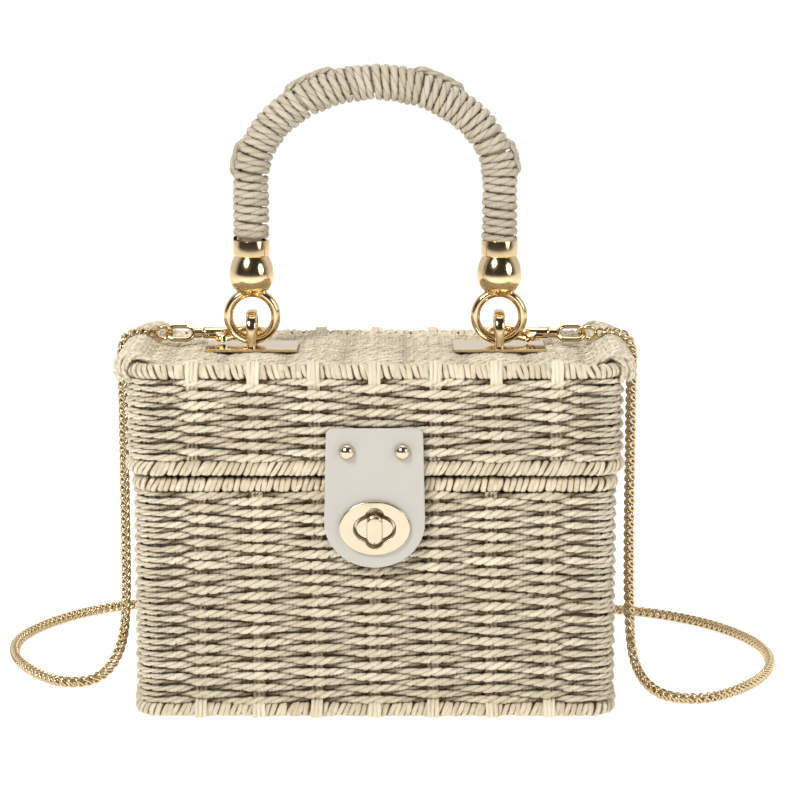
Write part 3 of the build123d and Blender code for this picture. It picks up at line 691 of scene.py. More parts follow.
# --- woven panels -----------------------------------------------------------------------------
def weave_panel(strands, rows_y, profile_at, weave, swing, rng, spacing, step):
    """Rows along X, woven over stakes that run front to back; profile_at gives a row's x, z points."""
    plain_end, ramp = 9.0 * MM, 8.0 * MM  # a row's ends lie outside the stakes, then start to weave
    for row, y in enumerate(rows_y):
        profile = np.array(profile_at(y))
        run = run_along(profile)
        steps = int(run[-1] / step)
        s = np.linspace(0, run[-1], steps)
        x = np.interp(s, run, profile[:, 0])
        z = np.interp(s, run, profile[:, 1])
        facing = np.cross(unit(np.stack([np.gradient(x), 0 * s, np.gradient(z)], axis=1)), BACK)
        inside = np.clip((np.abs(x).max() - plain_end - np.abs(x)) / ramp, 0, 1)
        wave = np.cos(math.pi * x / spacing) * (1 if row % 2 else -1)
        level = swing * (wave * inside + (1 - inside)) + rng.uniform(-0.15, 0.15) * MM
        ripple = drift(rng, 4, run[-1], s, 0.5 * MM)
        path = np.stack([x, y + ripple, z], axis=1) + facing * level[:, None]
        twist = TURN * s / weave.ply_pitch + rng.uniform(0, TURN)
        # painted shade: rope darkens where it passes inside the stakes
        deep = np.clip(0.44 - level / WALL, LEAST_PAINTED_SHADE, 1.0)
        strands.add(
            path, facing, np.tile(BACK, (steps, 1)), rope_profile(0.42), weave.rope_depth,
            weave.rope_height * (0.9 + 0.14 * np.abs(wave) * inside), twist, False, rng.uniform(0, 1),
            deep,
        )


class BAG_OT_lid_top(bpy.types.Operator):
    """Weaves the lid's top, whose rows roll over its side rims"""

    bl_idname = "bag.lid_top"
    bl_label = "Lid top"

    def execute(self, context):
        weave = context.scene.bag_weave
        rng = np.random.default_rng(weave.seed + 2)
        low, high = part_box("lid_top_weave")
        rim_low, rim_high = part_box("lid_top_rim")
        rim_z = (rim_low.z + rim_high.z) / 2
        rim_x = rim_high.x - RIM_RADIUS
        rise = RIM_RADIUS + weave.rope_depth * 0.9
        middle = high.z - 2.9 * MM  # middle of the woven thickness
        crown = 0.6 * MM  # rise of the rows where they leave the side rims
        spread = 1.26  # rows lie looser here than in the walls
        turn = np.radians(np.linspace(-48, 108, 14))
        radius = LID_CORNER - RIM_RADIUS
        straight_y = rim_high.y - LID_CORNER

        def profile_at(y):
            past = max(abs(y) - straight_y, 0.0)
            edge = rim_x - radius + math.sqrt(radius * radius - past * past)
            arc = [(edge + rise * math.cos(a), rim_z + rise * math.sin(a)) for a in turn]
            right = [(edge - 7.0 * MM, middle + crown), *arc[::-1]]
            return [(-x, z) for x, z in right[::-1]] + right

        count = round((high.y - low.y + 2.0 * MM) / (weave.row_pitch * spread))
        rows = np.linspace(low.y - 0.5 * MM, high.y + 0.5 * MM, count)
        strands = Strands()
        weave_panel(strands, rows, profile_at, weave, 1.5 * MM, rng, weave.lid_spacing, weave.step)
        dress(strands.mesh("lid_top_rows"), "lid", "straw_rope", "straw rope", "lid_top_weave")
        steps, sink = 30, 0.5 * MM
        strands = Strands()
        for k in range(-3, 4):
            for strand in STRANDS:
                x = k * weave.lid_spacing + strand * STRAND_PITCH * weave.stake_radius
                y = np.linspace(low.y - 1.5 * MM, high.y + 1.5 * MM, steps)
                path = np.stack([0 * y + x, y, 0 * y + middle - sink], axis=1)
                # painted shade: the top's stakes are darkened as they lie inside the weave
                strands.add(
                    path, np.tile(UP, (steps, 1)), np.tile(ACROSS, (steps, 1)), round_profile(6),
                    weave.stake_radius * STRAND_FLAT, weave.stake_radius, 0.0, False,
                    rng.uniform(0.3, 1.0), 0.4,
                )
        dress(strands.mesh("lid_top_stakes"), "lid", "straw_rope", "straw rope")
        return {"FINISHED"}


class BAG_OT_base(bpy.types.Operator):
    """Weaves the basket's base"""

    bl_idname = "bag.base"
    bl_label = "Base"

    def execute(self, context):
        weave = context.scene.bag_weave
        rng = np.random.default_rng(weave.seed + 3)
        low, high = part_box("base_weave")
        middle = (low.z + high.z) / 2
        rows = np.arange(low.y + 1.5 * MM, high.y - 1.0 * MM, weave.row_pitch * 1.08)
        strands = Strands()

        def profile_at(y):
            return [(low.x, middle), (0.0, middle), (high.x, middle)]

        weave_panel(strands, rows, profile_at, weave, 0.35 * MM, rng, weave.body_spacing, 2.2 * MM)
        made = strands.mesh("base_rows")
        stand_on_floor(made)
        dress(made, "basket", "straw_rope", "straw rope", "base_weave")
        return {"FINISHED"}


# --- wrapped rims -----------------------------------------------------------------------------
def wrapped_rim(node, name, body, corner, weave, seed, slant, lean, stands=False):
    """Strand wound round a wire rim, turn beside turn, over a plain core darkened with painted shade."""
    rng = np.random.default_rng(seed)
    _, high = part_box(node)
    loop = loop_of(node, corner, RIM_RADIUS)
    centre_z = high.z - RIM_RADIUS
    turns = round(loop.length / weave.rim_pitch)
    segments = 12
    count = turns * segments
    s = np.arange(count) * loop.length / count
    angle = slant * TURN * s / loop.length * turns
    wander = np.repeat(rng.uniform(-0.3, 0.3, turns), segments) * MM
    ends = segments // 2
    window = 2 * ends + 1
    wander = smoothed(np.concatenate([wander[-ends:], wander, wander[:ends]]), window)[ends:-ends]
    shift = smoothed(np.repeat(rng.uniform(-0.7, 0.7, turns), segments), 7) * MM
    leaning = (lean + np.repeat(rng.uniform(-0.15, 0.15, turns), segments)) * RIM_RADIUS * np.sin(angle)
    place, facing = loop.at(s + shift + leaning)
    along = np.cross(UP, facing)
    radial = facing * np.cos(angle)[:, None] + UP * np.sin(angle)[:, None]
    half, proud = 1.0 * MM, 0.1 * MM
    path = place + UP * centre_z + radial * (RIM_RADIUS + proud - half + wander)[:, None]
    flattened = profile_of([0, 50, 90, 180, 270, 310], [1, 0.98, 0.94, 0.7, 0.94, 0.98])
    strands = Strands()
    strands.add(path, radial, along, flattened, half, weave.rim_pitch * 0.54, 0.0, True)
    core = int(loop.length / (4.0 * MM))
    s = np.arange(core) * loop.length / core
    place, facing = loop.at(s)
    core_radius = RIM_RADIUS - 0.9 * MM
    sides = 8
    # painted shade: the core under the wrap is darkened to brown
    strands.add(
        place + UP * centre_z, facing, np.tile(UP, (core, 1)), round_profile(sides),
        core_radius, core_radius, 0.0, True, deep=0.9,
    )
    made = strands.mesh(name)
    tint = np.repeat(rng.uniform(-0.55, 0.4, turns), segments * len(flattened))
    shades = np.concatenate([tint, np.full(core * sides, 0.2)])
    made.data.attributes["shade"].data.foreach_set("value", shades.astype(np.float32))
    if stands:
        stand_on_floor(made)
    return dress(made, body, "straw_rope", "straw rope", node)


class BAG_OT_rims(bpy.types.Operator):
    """Wraps the four wire rims"""

    bl_idname = "bag.rims"
    bl_label = "Rims"

    def execute(self, context):
        weave = context.scene.bag_weave
        wrapped_rim("base_rim", "base_rim_wrap", "basket", BODY_CORNER, weave, 21, 1, 0.15, stands=True)
        wrapped_rim("body_rim", "body_rim_wrap", "basket", BODY_CORNER, weave, 22, -1, 0.35)
        wrapped_rim("lid_rim", "lid_rim_wrap", "lid", LID_CORNER, weave, 23, 1, 0.3)
        wrapped_rim("lid_top_rim", "lid_top_rim_wrap", "lid", LID_CORNER, weave, 24, -1, -0.05)
        return {"FINISHED"}


class BAG_OT_lashings(bpy.types.Operator):
    """Ties the lid's rim to the basket's rim at the back"""

    bl_idname = "bag.lashings"
    bl_label = "Hinge lashings"

    def execute(self, context):
        one, two = (
            np.array([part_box(node)[1].y - RIM_RADIUS, middle_of(node).z]) for node in ("lid_rim", "body_rim")
        )
        lean = (one - two) / np.linalg.norm(one - two)
        flat = np.array([lean[1], -lean[0]])
        radius = RIM_RADIUS + 1.15 * MM
        half_turn = np.linspace(-math.pi / 2, math.pi / 2, 9)
        ring = [one + radius * (lean * math.cos(a) + flat * math.sin(a)) for a in half_turn[::-1]]
        ring += [two + radius * (-lean * math.cos(a) - flat * math.sin(a)) for a in half_turn[::-1]]
        ring = np.array(ring)
        turns = 4
        edge = 1.1 * MM  # from the lashing's end to its outermost turn
        for name in ("left", "middle", "right"):
            low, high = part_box("hinge_lashing_" + name)
            points = np.concatenate([ring] * turns)
            x = np.linspace(low.x + edge, high.x - edge, len(points))
            path = np.stack([x, points[:, 0], points[:, 1]], axis=1)
            tangent = tangents(path)
            side = unit(np.cross(tangent, ACROSS))
            across = np.cross(side, tangent)
            twist = np.arange(len(path)) * 1.3
            strands = Strands()
            strands.add(path, side, across, rope_profile(), 0.85 * MM, 1.2 * MM, twist, False, 0.6, 0.0)
            made = strands.mesh("lashing_rope_" + name)
            dress(made, "basket", "straw_rope", "straw rope", "hinge_lashing_" + name)
        return {"FINISHED"}


# --- arch handle ------------------------------------------------------------------------------
class Arch:
    """The handle's middle line: two legs, two shoulders and a crown, from the left leg up and over."""

    def __init__(self):
        shoulder, turned = 36.0 * MM, math.radians(50)
        low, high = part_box("handle_wrap")
        self.radius = (high.y - low.y) / 2
        leg_x = middle_of("handle_cap_right").x
        crown_z = high.z - self.radius
        crown = (leg_x - shoulder * (1 - math.cos(turned))) / math.cos(turned)
        rise = shoulder * math.sin(turned) + crown * (1 - math.sin(turned))
        leg_top = crown_z - rise
        start = np.array([[-leg_x, low.z], [-leg_x, leg_top]])
        a = np.linspace(0, turned, 60)[1:]
        left = np.stack([-leg_x + shoulder * (1 - np.cos(a)), leg_top + shoulder * np.sin(a)], axis=1)
        b = np.linspace(turned, math.pi / 2, 60)[1:]
        top = np.stack([-crown * np.cos(b), crown_z - crown * (1 - np.sin(b))], axis=1)
        half = np.concatenate([start, left, top])
        mirrored = half[::-1][1:] * [-1, 1]
        self.points = np.concatenate([half, mirrored])
        self.run = run_along(self.points)
        self.length = float(self.run[-1])

    def at(self, s):
        """Places, directions along and directions outward, at distances along the arch."""
        s = np.clip(s, 0, self.length)
        step = 0.5 * MM

        def place(t):
            x, z = (np.interp(t, self.run, self.points[:, k]) for k in (0, 1))
            return np.stack([x, 0 * x, z], axis=1)

        ahead, behind = (place(np.clip(s + way * step, 0, self.length)) for way in (1, -1))
        along = unit(ahead - behind)
        return place(s), along, np.cross(along, BACK)

    def where(self, x, z):
        return float(self.run[np.argmin(np.hypot(self.points[:, 0] - x, self.points[:, 1] - z))])


class BAG_OT_handle(bpy.types.Operator):
    """Wraps the arch handle, with a cord that shows here and there along its outside"""

    bl_idname = "bag.handle"
    bl_label = "Handle"

    def execute(self, context):
        sizes = context.scene.bag_handle
        rng = np.random.default_rng(31)
        arch = Arch()
        turns = round(arch.length / sizes.pitch)
        segments = 26
        count = turns * segments
        s = np.linspace(0, arch.length, count)
        angle = TURN * s / arch.length * turns
        share = s / arch.length
        steepest, steep_at, steep_over = 0.28, 0.42, 0.24  # turns lean most just left of the crown
        slope = steepest * np.exp(-(((share - steep_at) / steep_over) ** 4))
        reach = arch.radius - sizes.rope_depth
        jitter = smoothed(np.repeat(rng.uniform(-0.5, 0.5, turns), segments), 13) * MM
        place, along, out = arch.at(s + jitter - slope * reach * np.cos(angle))
        radial = out * np.cos(angle)[:, None] + BACK * np.sin(angle)[:, None]
        swell = smoothed(np.repeat(rng.uniform(-0.25, 0.25, turns), segments) * MM, 13)
        curved = np.abs(share - 0.5) < 0.38
        squeeze = 1.0 + 0.1 * np.cos(angle) * curved  # turns are wider outside the curve
        path = place + radial * (reach + swell)[:, None]
        across = unit(np.cross(radial, tangents(path)))
        twist = TURN * s / arch.length * turns * TURN * reach / sizes.ply_pitch
        profile = rope_profile(0.74)
        strands = Strands()
        strands.add(
            path, radial, across, profile, sizes.rope_depth, sizes.rope_width * squeeze, twist,
            deep=LEAST_PAINTED_SHADE,
        )
        wrap = strands.mesh("handle_rope")
        tint = np.repeat(rng.uniform(0.1, 1.0, turns), segments * len(profile))
        wrap.data.attributes["shade"].data.foreach_set("value", tint.astype(np.float32))
        dress(wrap, "handle", "straw_rope", "handle rope", "handle_wrap")
        self.outer_cord(sizes, arch)
        return {"FINISHED"}

    def outer_cord(self, sizes, arch):
        """The twisted cord: over the wrap in four stretches, under it elsewhere."""
        s = np.arange(0, arch.length, 1.0 * MM)
        shown = 0 * s
        ply_pitch = 9.0 * MM
        stretches = (  # x and z of each stretch's two ends
            ((-52 * MM, 207 * MM), (-47 * MM, 234 * MM)),
            ((-36 * MM, 247 * MM), (-13 * MM, 258 * MM)),
            ((12 * MM, 258 * MM), (35 * MM, 248 * MM)),
            ((47 * MM, 234 * MM), (52 * MM, 208 * MM)),
        )
        edge = 5.0 * MM  # length over which the cord comes up through the wrap
        for first, last in stretches:
            start, end = arch.where(*first), arch.where(*last)
            shown = np.maximum(shown, np.clip((s - start) / edge, 0, 1) * np.clip((end - s) / edge, 0, 1))
        shown = eased(shown)
        place, along, out = arch.at(s)
        under, over = arch.radius - 3.2 * MM, arch.radius + 0.1 * MM
        path = place + out * (under + (over - under) * shown)[:, None]
        strands = Strands()
        radius = sizes.accent_radius
        strands.add(
            path, out, np.tile(BACK, (len(s), 1)), rope_profile(), radius * 0.95, radius * 1.1,
            TURN * s / ply_pitch, False, 0.35, LEAST_PAINTED_SHADE,
        )
        made = strands.mesh("handle_outer_cord")
        dress(made, "handle", "straw_rope", "handle rope", "handle_accent_cord")


# --- cast, turned and bent metal --------------------------------------------------------------
def clean_mesh(merge):
    """In edit mode: joins points closer than merge and turns every face outwards."""
    bpy.ops.mesh.select_all(action="SELECT")
    bpy.ops.mesh.remove_doubles(threshold=merge)
    bpy.ops.mesh.normals_make_consistent(inside=False)
    bpy.ops.object.mode_set(mode="OBJECT")


def join_to(main, piece):
    """Makes a selected piece part of the main one."""
    piece.select_set(True)
    main.select_set(True)
    bpy.context.view_layer.objects.active = main
    bpy.ops.object.join()


def turned_piece(name, profile, centre, axis="Z", steps=40):
    """Lathe work: a profile of radius and height points, spun round an axis through centre."""
    deselect()
    data = bpy.data.meshes.new(name)
    data.from_pydata([(r, 0.0, h) for r, h in profile], [(i, i + 1) for i in range(len(profile) - 1)], [])
    made = add_object(name, data)
    choose(made)
    bpy.ops.object.mode_set(mode="EDIT")
    bpy.ops.mesh.select_all(action="SELECT")
    bpy.ops.mesh.spin(steps=steps, angle=TURN, center=(0, 0, 0), axis=(0, 0, 1), use_auto_merge=True)
    clean_mesh(0.005 * MM)
    bpy.ops.object.shade_smooth_by_angle(angle=math.radians(38))
    if axis == "-Y":
        made.rotation_euler = (math.pi / 2, 0, 0)
    made.location = centre
    return settle(made)


def flat_piece(name, outlines, thickness, rounding, place, cuts=()):
    """Stamped or cut sheet: outlines of x, y points, the first outside and the rest holes."""
    deselect()
    sheet = bpy.data.curves.new(name, "CURVE")
    sheet.dimensions = "2D"
    sheet.fill_mode = "BOTH"
    sheet.extrude = thickness / 2 - rounding
    sheet.bevel_depth = rounding
    sheet.bevel_resolution = 2
    sheet.offset = -rounding
    for points in outlines:
        spline = sheet.splines.new("POLY")
        spline.points.add(len(points) - 1)
        for point, (x, y) in zip(spline.points, points):
            point.co = (x, y, 0, 1)
        spline.use_cyclic_u = True
    choose(add_object(name, sheet))
    bpy.ops.object.convert(target="MESH")
    made = bpy.context.view_layer.objects.active
    made.name = name
    bpy.ops.object.mode_set(mode="EDIT")
    bpy.ops.mesh.select_all(action="SELECT")
    bpy.ops.mesh.remove_doubles(threshold=0.002 * MM)
    for height in cuts:
        bpy.ops.mesh.select_all(action="SELECT")
        bpy.ops.mesh.bisect(plane_co=(0, height, 0), plane_no=(0, 1, 0))
    bpy.ops.mesh.select_all(action="SELECT")
    bpy.ops.mesh.normals_make_consistent(inside=False)
    bpy.ops.object.mode_set(mode="OBJECT")
    bpy.ops.object.shade_smooth()
    made.modifiers.new("flat faces", "WEIGHTED_NORMAL").weight = 100
    bpy.ops.object.modifier_apply(modifier="flat faces")
    made.matrix_world = place
    return settle(made)


def upright(x, y, z):
    """Placing for a flat piece that stands facing the front."""
    return Matrix.Translation((x, y, z)) @ Matrix.Rotation(math.pi / 2, 4, "X")


def ellipse(width, height, count=64):
    turn = np.arange(count) * TURN / count
    return [(width / 2 * math.cos(a), height / 2 * math.sin(a)) for a in turn]


def rounded_box(width, height, radius, steps=5):
    """Corner points of a rounded rectangle, anticlockwise."""
    points = []
    for quarter, (x, y) in enumerate(CORNERS):
        centre_x, centre_y = x * (width / 2 - radius), y * (height / 2 - radius)
        turn = np.linspace(0, math.pi / 2, steps) + (quarter - 1) * math.pi / 2
        points += [(centre_x + radius * math.cos(a), centre_y + radius * math.sin(a)) for a in turn]
    return points


class BAG_OT_handle_caps(bpy.types.Operator):
    """Turns the caps under the handle's legs and casts their rings"""

    bl_idname = "bag.handle_caps"
    bl_label = "Handle caps"

    def execute(self, context):
        for name in SIDES:
            low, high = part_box("handle_cap_" + name)
            x = (low.x + high.x) / 2
            wire, ring = 2.0 * MM, 10.0 * MM
            ball_base, collar, collar_height = 9.2 * MM, 7.7 * MM, 6.8 * MM
            ring_z = low.z + wire + ring
            flat_z, top_z = ring_z + ball_base, high.z
            ball = (high.y - low.y) / 2
            neck_z = top_z - collar_height
            body = neck_z - flat_z
            waist = 0.47  # height of the ball's widest place, as a share of the ball
            profile = [(0, flat_z), (ball * 0.5, flat_z)]
            for a in np.radians(np.linspace(36, 90, 9)):
                profile.append((ball * math.sin(a), flat_z + body * (waist - 0.52 * math.cos(a))))
            shrink = math.acos(0.93 * collar / ball)
            for a in np.linspace(0.06, shrink, 8):
                share = waist + (1 - waist) * math.sin(a) / math.sin(shrink)
                profile.append((ball * math.cos(a), flat_z + body * share))
            profile += [
                (0.95 * collar, neck_z + 0.15 * MM), (collar, neck_z + 0.5 * MM), (collar, top_z - 0.7 * MM),
                (0.98 * collar, top_z - 0.2 * MM), (0.93 * collar, top_z), (0.84 * collar, top_z),
                (0.8 * collar, top_z - 1.2 * MM), (0, top_z - 1.2 * MM),
            ]
            cap = turned_piece("cap_" + name, profile, (x, 0, 0), steps=56)
            bpy.ops.mesh.primitive_torus_add(
                location=(x, 0, ring_z), rotation=(math.pi / 2, 0, 0), major_radius=ring, minor_radius=wire,
                major_segments=64, minor_segments=20,
            )
            eye = bpy.context.object
            bpy.ops.object.shade_smooth()
            settle(eye)
            join_to(cap, eye)
            dress(cap, "handle", "gold_metal", "gold plating", "handle_cap_" + name)
        return {"FINISHED"}


class BAG_OT_staples(bpy.types.Operator):
    """Stamps the plates on the lid and bends the staples that hold the rings"""

    bl_idname = "bag.staples"
    bl_label = "Staples and plates"

    def execute(self, context):
        corner, edge_rounding = 1.2 * MM, 0.22 * MM
        for name in SIDES:
            low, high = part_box("staple_plate_" + name)
            place = Matrix.Translation((low + high) / 2)
            outline = rounded_box(high.x - low.x, high.y - low.y, corner)
            plate = flat_piece("plate_" + name, [outline], high.z - low.z, edge_rounding, place)
            dress(plate, "lid", "gold_metal", "gold plating", "staple_plate_" + name)
            self.staple(name)
        return {"FINISHED"}

    def staple(self, name):
        low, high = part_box("staple_" + name)
        _, plate_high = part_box("staple_plate_" + name)
        x = (low.x + high.x) / 2
        leg_y, bend, foot_depth = 8.2 * MM, 6.0 * MM, 0.5 * MM
        leg_half, crown_wider = 1.7 * MM, 0.75 * MM  # along X, at the foot and more at the top
        bar = (high.y - low.y) / 2 - leg_y
        top = high.z - bar
        foot = plate_high.z - foot_depth
        turn = np.linspace(0, math.pi / 2, 9)
        corner = [(leg_y - bend + bend * math.cos(a), top - bend + bend * math.sin(a)) for a in turn]
        side = [(leg_y, z) for z in np.linspace(foot, top - bend, 6)[:-1]] + corner
        line = np.array(side + [(-y, z) for y, z in side[::-1]])
        path = np.stack([0 * line[:, 0] + x, line[:, 0], line[:, 1]], axis=1)
        across = np.tile(ACROSS, (len(path), 1))
        widen = np.clip((path[:, 2] - foot) / (top - foot), 0, 1)
        angles = [quarter + a for quarter in (0, 90, 180, 270) for a in (0, 22, 45, 68)]
        squarish = profile_of(angles, [1, 1.05, 1.16, 1.05] * 4)
        strands = Strands()
        half = leg_half + crown_wider * widen
        strands.add(path, np.cross(across, tangents(path)), across, squarish, bar, half)
        made = strands.mesh("staple_bar_" + name)
        made.modifiers.new("smooth", "SUBSURF").levels = 1
        made.modifiers["smooth"].render_levels = 1
        choose(made)
        bpy.ops.object.modifier_apply(modifier="smooth")
        dress(made, "lid", "gold_metal", "gold plating", "staple_" + name)


# --- leather tab and turn lock ----------------------------------------------------------------
def lock_opening(width, height, lobe_width, lobe_height, count=96):
    """Outline of the lock's opening: an ellipse with a round lobe above and below."""
    points = []
    for k in range(count):
        a = TURN * k / count
        c, s = math.cos(a), math.sin(a)
        oval = 1 / math.hypot(c / (width / 2), s / (height / 2))
        half = lobe_width / 2
        reach = lobe_height / 2 - half
        inside = half * half - (reach * c) ** 2
        lobe = reach * abs(s) + math.sqrt(inside) if inside > 0 else 0.0
        points.append((max(oval, lobe) * c, max(oval, lobe) * s))
    return points


class BAG_OT_tab(bpy.types.Operator):
    """Cuts the leather tab, flat, with extra cuts across it where it hangs over the mouth"""

    bl_idname = "bag.tab"
    bl_label = "Leather tab"

    def execute(self, context):
        low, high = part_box("lock_tab")
        lock_z = middle_of("lock_plate").z
        turn_z = lock_z + 1.9 * MM  # where the straight sides end
        half_low, half_top = (high.x - low.x) / 2, 19.7 * MM
        corner, edge_rounding = 3.0 * MM, 0.75 * MM
        oval, lobes = (17.5 * MM, 12 * MM), (8 * MM, 16.6 * MM)  # wider than the plate's opening
        points = [(half_low * math.cos(a), turn_z + (turn_z - low.z) * math.sin(a))
                  for a in np.linspace(math.pi, TURN, 33)]
        for side in (1, -1):
            turn = np.linspace(0, math.pi / 2, 6)
            arc = [
                (side * (half_top - corner + corner * math.cos(a)), high.z - corner + corner * math.sin(a))
                for a in turn
            ]
            points += arc[::side]
        opening = [(x, z + lock_z) for x, z in lock_opening(*oval, *lobes, count=64)]
        middle_y = (low.y + high.y) / 2
        cuts = np.linspace(104.0 * MM, 112.5 * MM, 12)  # cuts across the tab where a bend would go; the tab is left flat
        tab = flat_piece(
            "leather_tab", [points, opening], high.y - low.y, edge_rounding, upright(0, middle_y, 0), cuts
        )
        dress(tab, None, "ivory_leather", "ivory leather", "lock_tab")
        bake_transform(tab)
        wider, rise, brim, sunk = 1.08, 3.5 * MM, 0.5 * MM, 0.4 * MM
        for name in SIDES:
            rivet_low, rivet_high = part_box("tab_rivet_" + name)
            centre = (rivet_low + rivet_high) / 2
            head = (rivet_high.x - rivet_low.x) / 2 * wider
            turn = np.radians(np.linspace(0, 90, 10))
            dome = [(head * math.cos(a), brim + (rise - brim) * math.sin(a)) for a in turn]
            profile = [(0, -sunk), (head * 0.86, -sunk), (head * 0.97, 0.1 * MM)] + dome
            made = turned_piece("rivet_head_" + name, profile, (centre.x, low.y, centre.z), "-Y", 32)
            dress(made, "lid", "gold_metal", "champagne plating", "tab_rivet_" + name)
        return {"FINISHED"}


class BAG_OT_lock(bpy.types.Operator):
    """Stamps the lock's plate and casts its turning button"""

    bl_idname = "bag.lock"
    bl_label = "Turn lock"

    def execute(self, context):
        plate_rounding, button_rounding = 0.6 * MM, 1.1 * MM
        thick, shaft, shaft_length = 3.5 * MM, 1.9 * MM, 4.0 * MM
        oval, lobes = (17.0 * MM, 11.6 * MM), (7.4 * MM, 16.0 * MM)
        low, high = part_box("lock_plate")
        centre = (low + high) / 2
        outlines = [ellipse(high.x - low.x, high.z - low.z, 80), lock_opening(*oval, *lobes)]
        plate = flat_piece("lock_oval", outlines, high.y - low.y, plate_rounding, upright(*centre))
        dress(plate, "flap", "gold_metal", "champagne plating", "lock_plate")
        low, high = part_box("turn_button")
        centre = (low + high) / 2
        end = (high.x - low.x) / 2 - 0.01 * MM  # just short of half round
        shape = rounded_box(high.x - low.x, high.z - low.z, end, 12)
        place = upright(centre.x, low.y + thick / 2, centre.z)
        button = flat_piece("lock_button", [shape], thick, button_rounding, place)
        profile = [(0, -shaft_length), (shaft, -shaft_length), (shaft, 0), (0, 0)]
        post = turned_piece("lock_post", profile, (centre.x, low.y + thick * 0.6, centre.z), "-Y", 24)
        join_to(button, post)
        dress(button, "turn_button", "gold_metal", "champagne plating", "turn_button")
        return {"FINISHED"}


class BAG_OT_hooks(bpy.types.Operator):
    """Casts the two snap hooks and their triggers"""

    bl_idname = "bag.hooks"
    bl_label = "Snap hooks"

    def execute(self, context):
        lean = math.radians(25.0)
        upward = np.array([0.0, math.cos(lean), math.sin(lean)])
        bend, bar = 3.9 * MM, 1.3 * MM
        pin_out, pin_down = 14.2 * MM, 3.4 * MM
        barrel, barrel_end = 2.35 * MM, 22.0 * MM
        falls_from, falls_over, thickens_over = 0.12, 0.6, 0.66  # shares of the claw's back
        ear_deep, ear_wide, ears_apart = [0.9 * MM, 1.9 * MM, 2.0 * MM], [0.4 * MM] * 3, 1.2 * MM
        lever_from, lever_length, lever_deep, lever_wide = 3.6 * MM, 12.0 * MM, 1.0 * MM, 0.75 * MM
        nub_at, nub_length, nub_height = 0.64, 0.1, 0.6 * MM  # the first two are shares of the lever
        turn = np.radians(np.linspace(270, 90, 22))
        for name, side in SIDES.items():
            outward = side * ACROSS
            zero = np.array(middle_of("trigger_pin_" + name)) - outward * pin_out + upward * pin_down
            tip = [(u * MM, -bend) for u in (3.2, 3.1, 2.6, 1.3)]
            claw = tip + [(bend * math.cos(a), bend * math.sin(a)) for a in turn]
            wire = [0.0, 0.7 * bar, bar, bar] + [bar] * len(turn)
            for t in np.linspace(0.05, 1, 20):
                drop = eased(min(max(t - falls_from, 0) / falls_over, 1))
                claw.append((t * (barrel_end - 0.3 * MM), bend * (1 - drop)))
                wire.append(bar + (barrel - bar) * eased(min(t / thickens_over, 1)))
            claw += [(barrel_end, 0.0), (barrel_end + 0.02 * MM, 0.0)]
            wire += [0.85 * barrel, 0.0]
            strands = Strands()
            self.bar(strands, zero, outward, upward, claw, wire, wire)
            ear = [
                (pin_out - 1.5 * MM, -pin_down - 1.2 * MM), (pin_out, -pin_down),
                (pin_out + 1.6 * MM, 0.0),
            ]
            for face in (-1, 1):
                beside = zero + np.cross(outward, upward) * face * ears_apart
                self.bar(strands, beside, outward, upward, ear, ear_deep, ear_wide)
            dress(strands.mesh("hook_" + name), "lid", "gold_metal", "gold plating", "snap_hook_" + name)
            run = np.linspace(0, 1, 24)
            nub = np.exp(-(((run - nub_at) / nub_length) ** 2)) * nub_height
            path = [(lever_from + t * lever_length, -bend - n) for t, n in zip(run, nub)]
            ends = np.sqrt(np.clip(1 - (np.abs(run - 0.5) * 2) ** 12, 0, 1))
            strands = Strands()
            deep, wide = (lever_deep + nub) * ends, lever_wide * ends
            self.bar(strands, zero, outward, upward, path, deep, wide)
            trigger = "trigger_" + name
            dress(strands.mesh("trigger_bar_" + name), trigger, "gold_metal", "gold plating", trigger)
        return {"FINISHED"}

    def bar(self, strands, zero, outward, upward, places, deep, wide):
        """Rod through u, v places of the hook's own plane; deep is in that plane and wide across it."""
        path = np.array([zero + outward * u + upward * v for u, v in places])
        flat = np.tile(np.cross(outward, upward), (len(path), 1))
        facing = np.cross(flat, tangents(path))
        strands.add(path, facing, flat, round_profile(20), np.array(deep), np.array(wide))


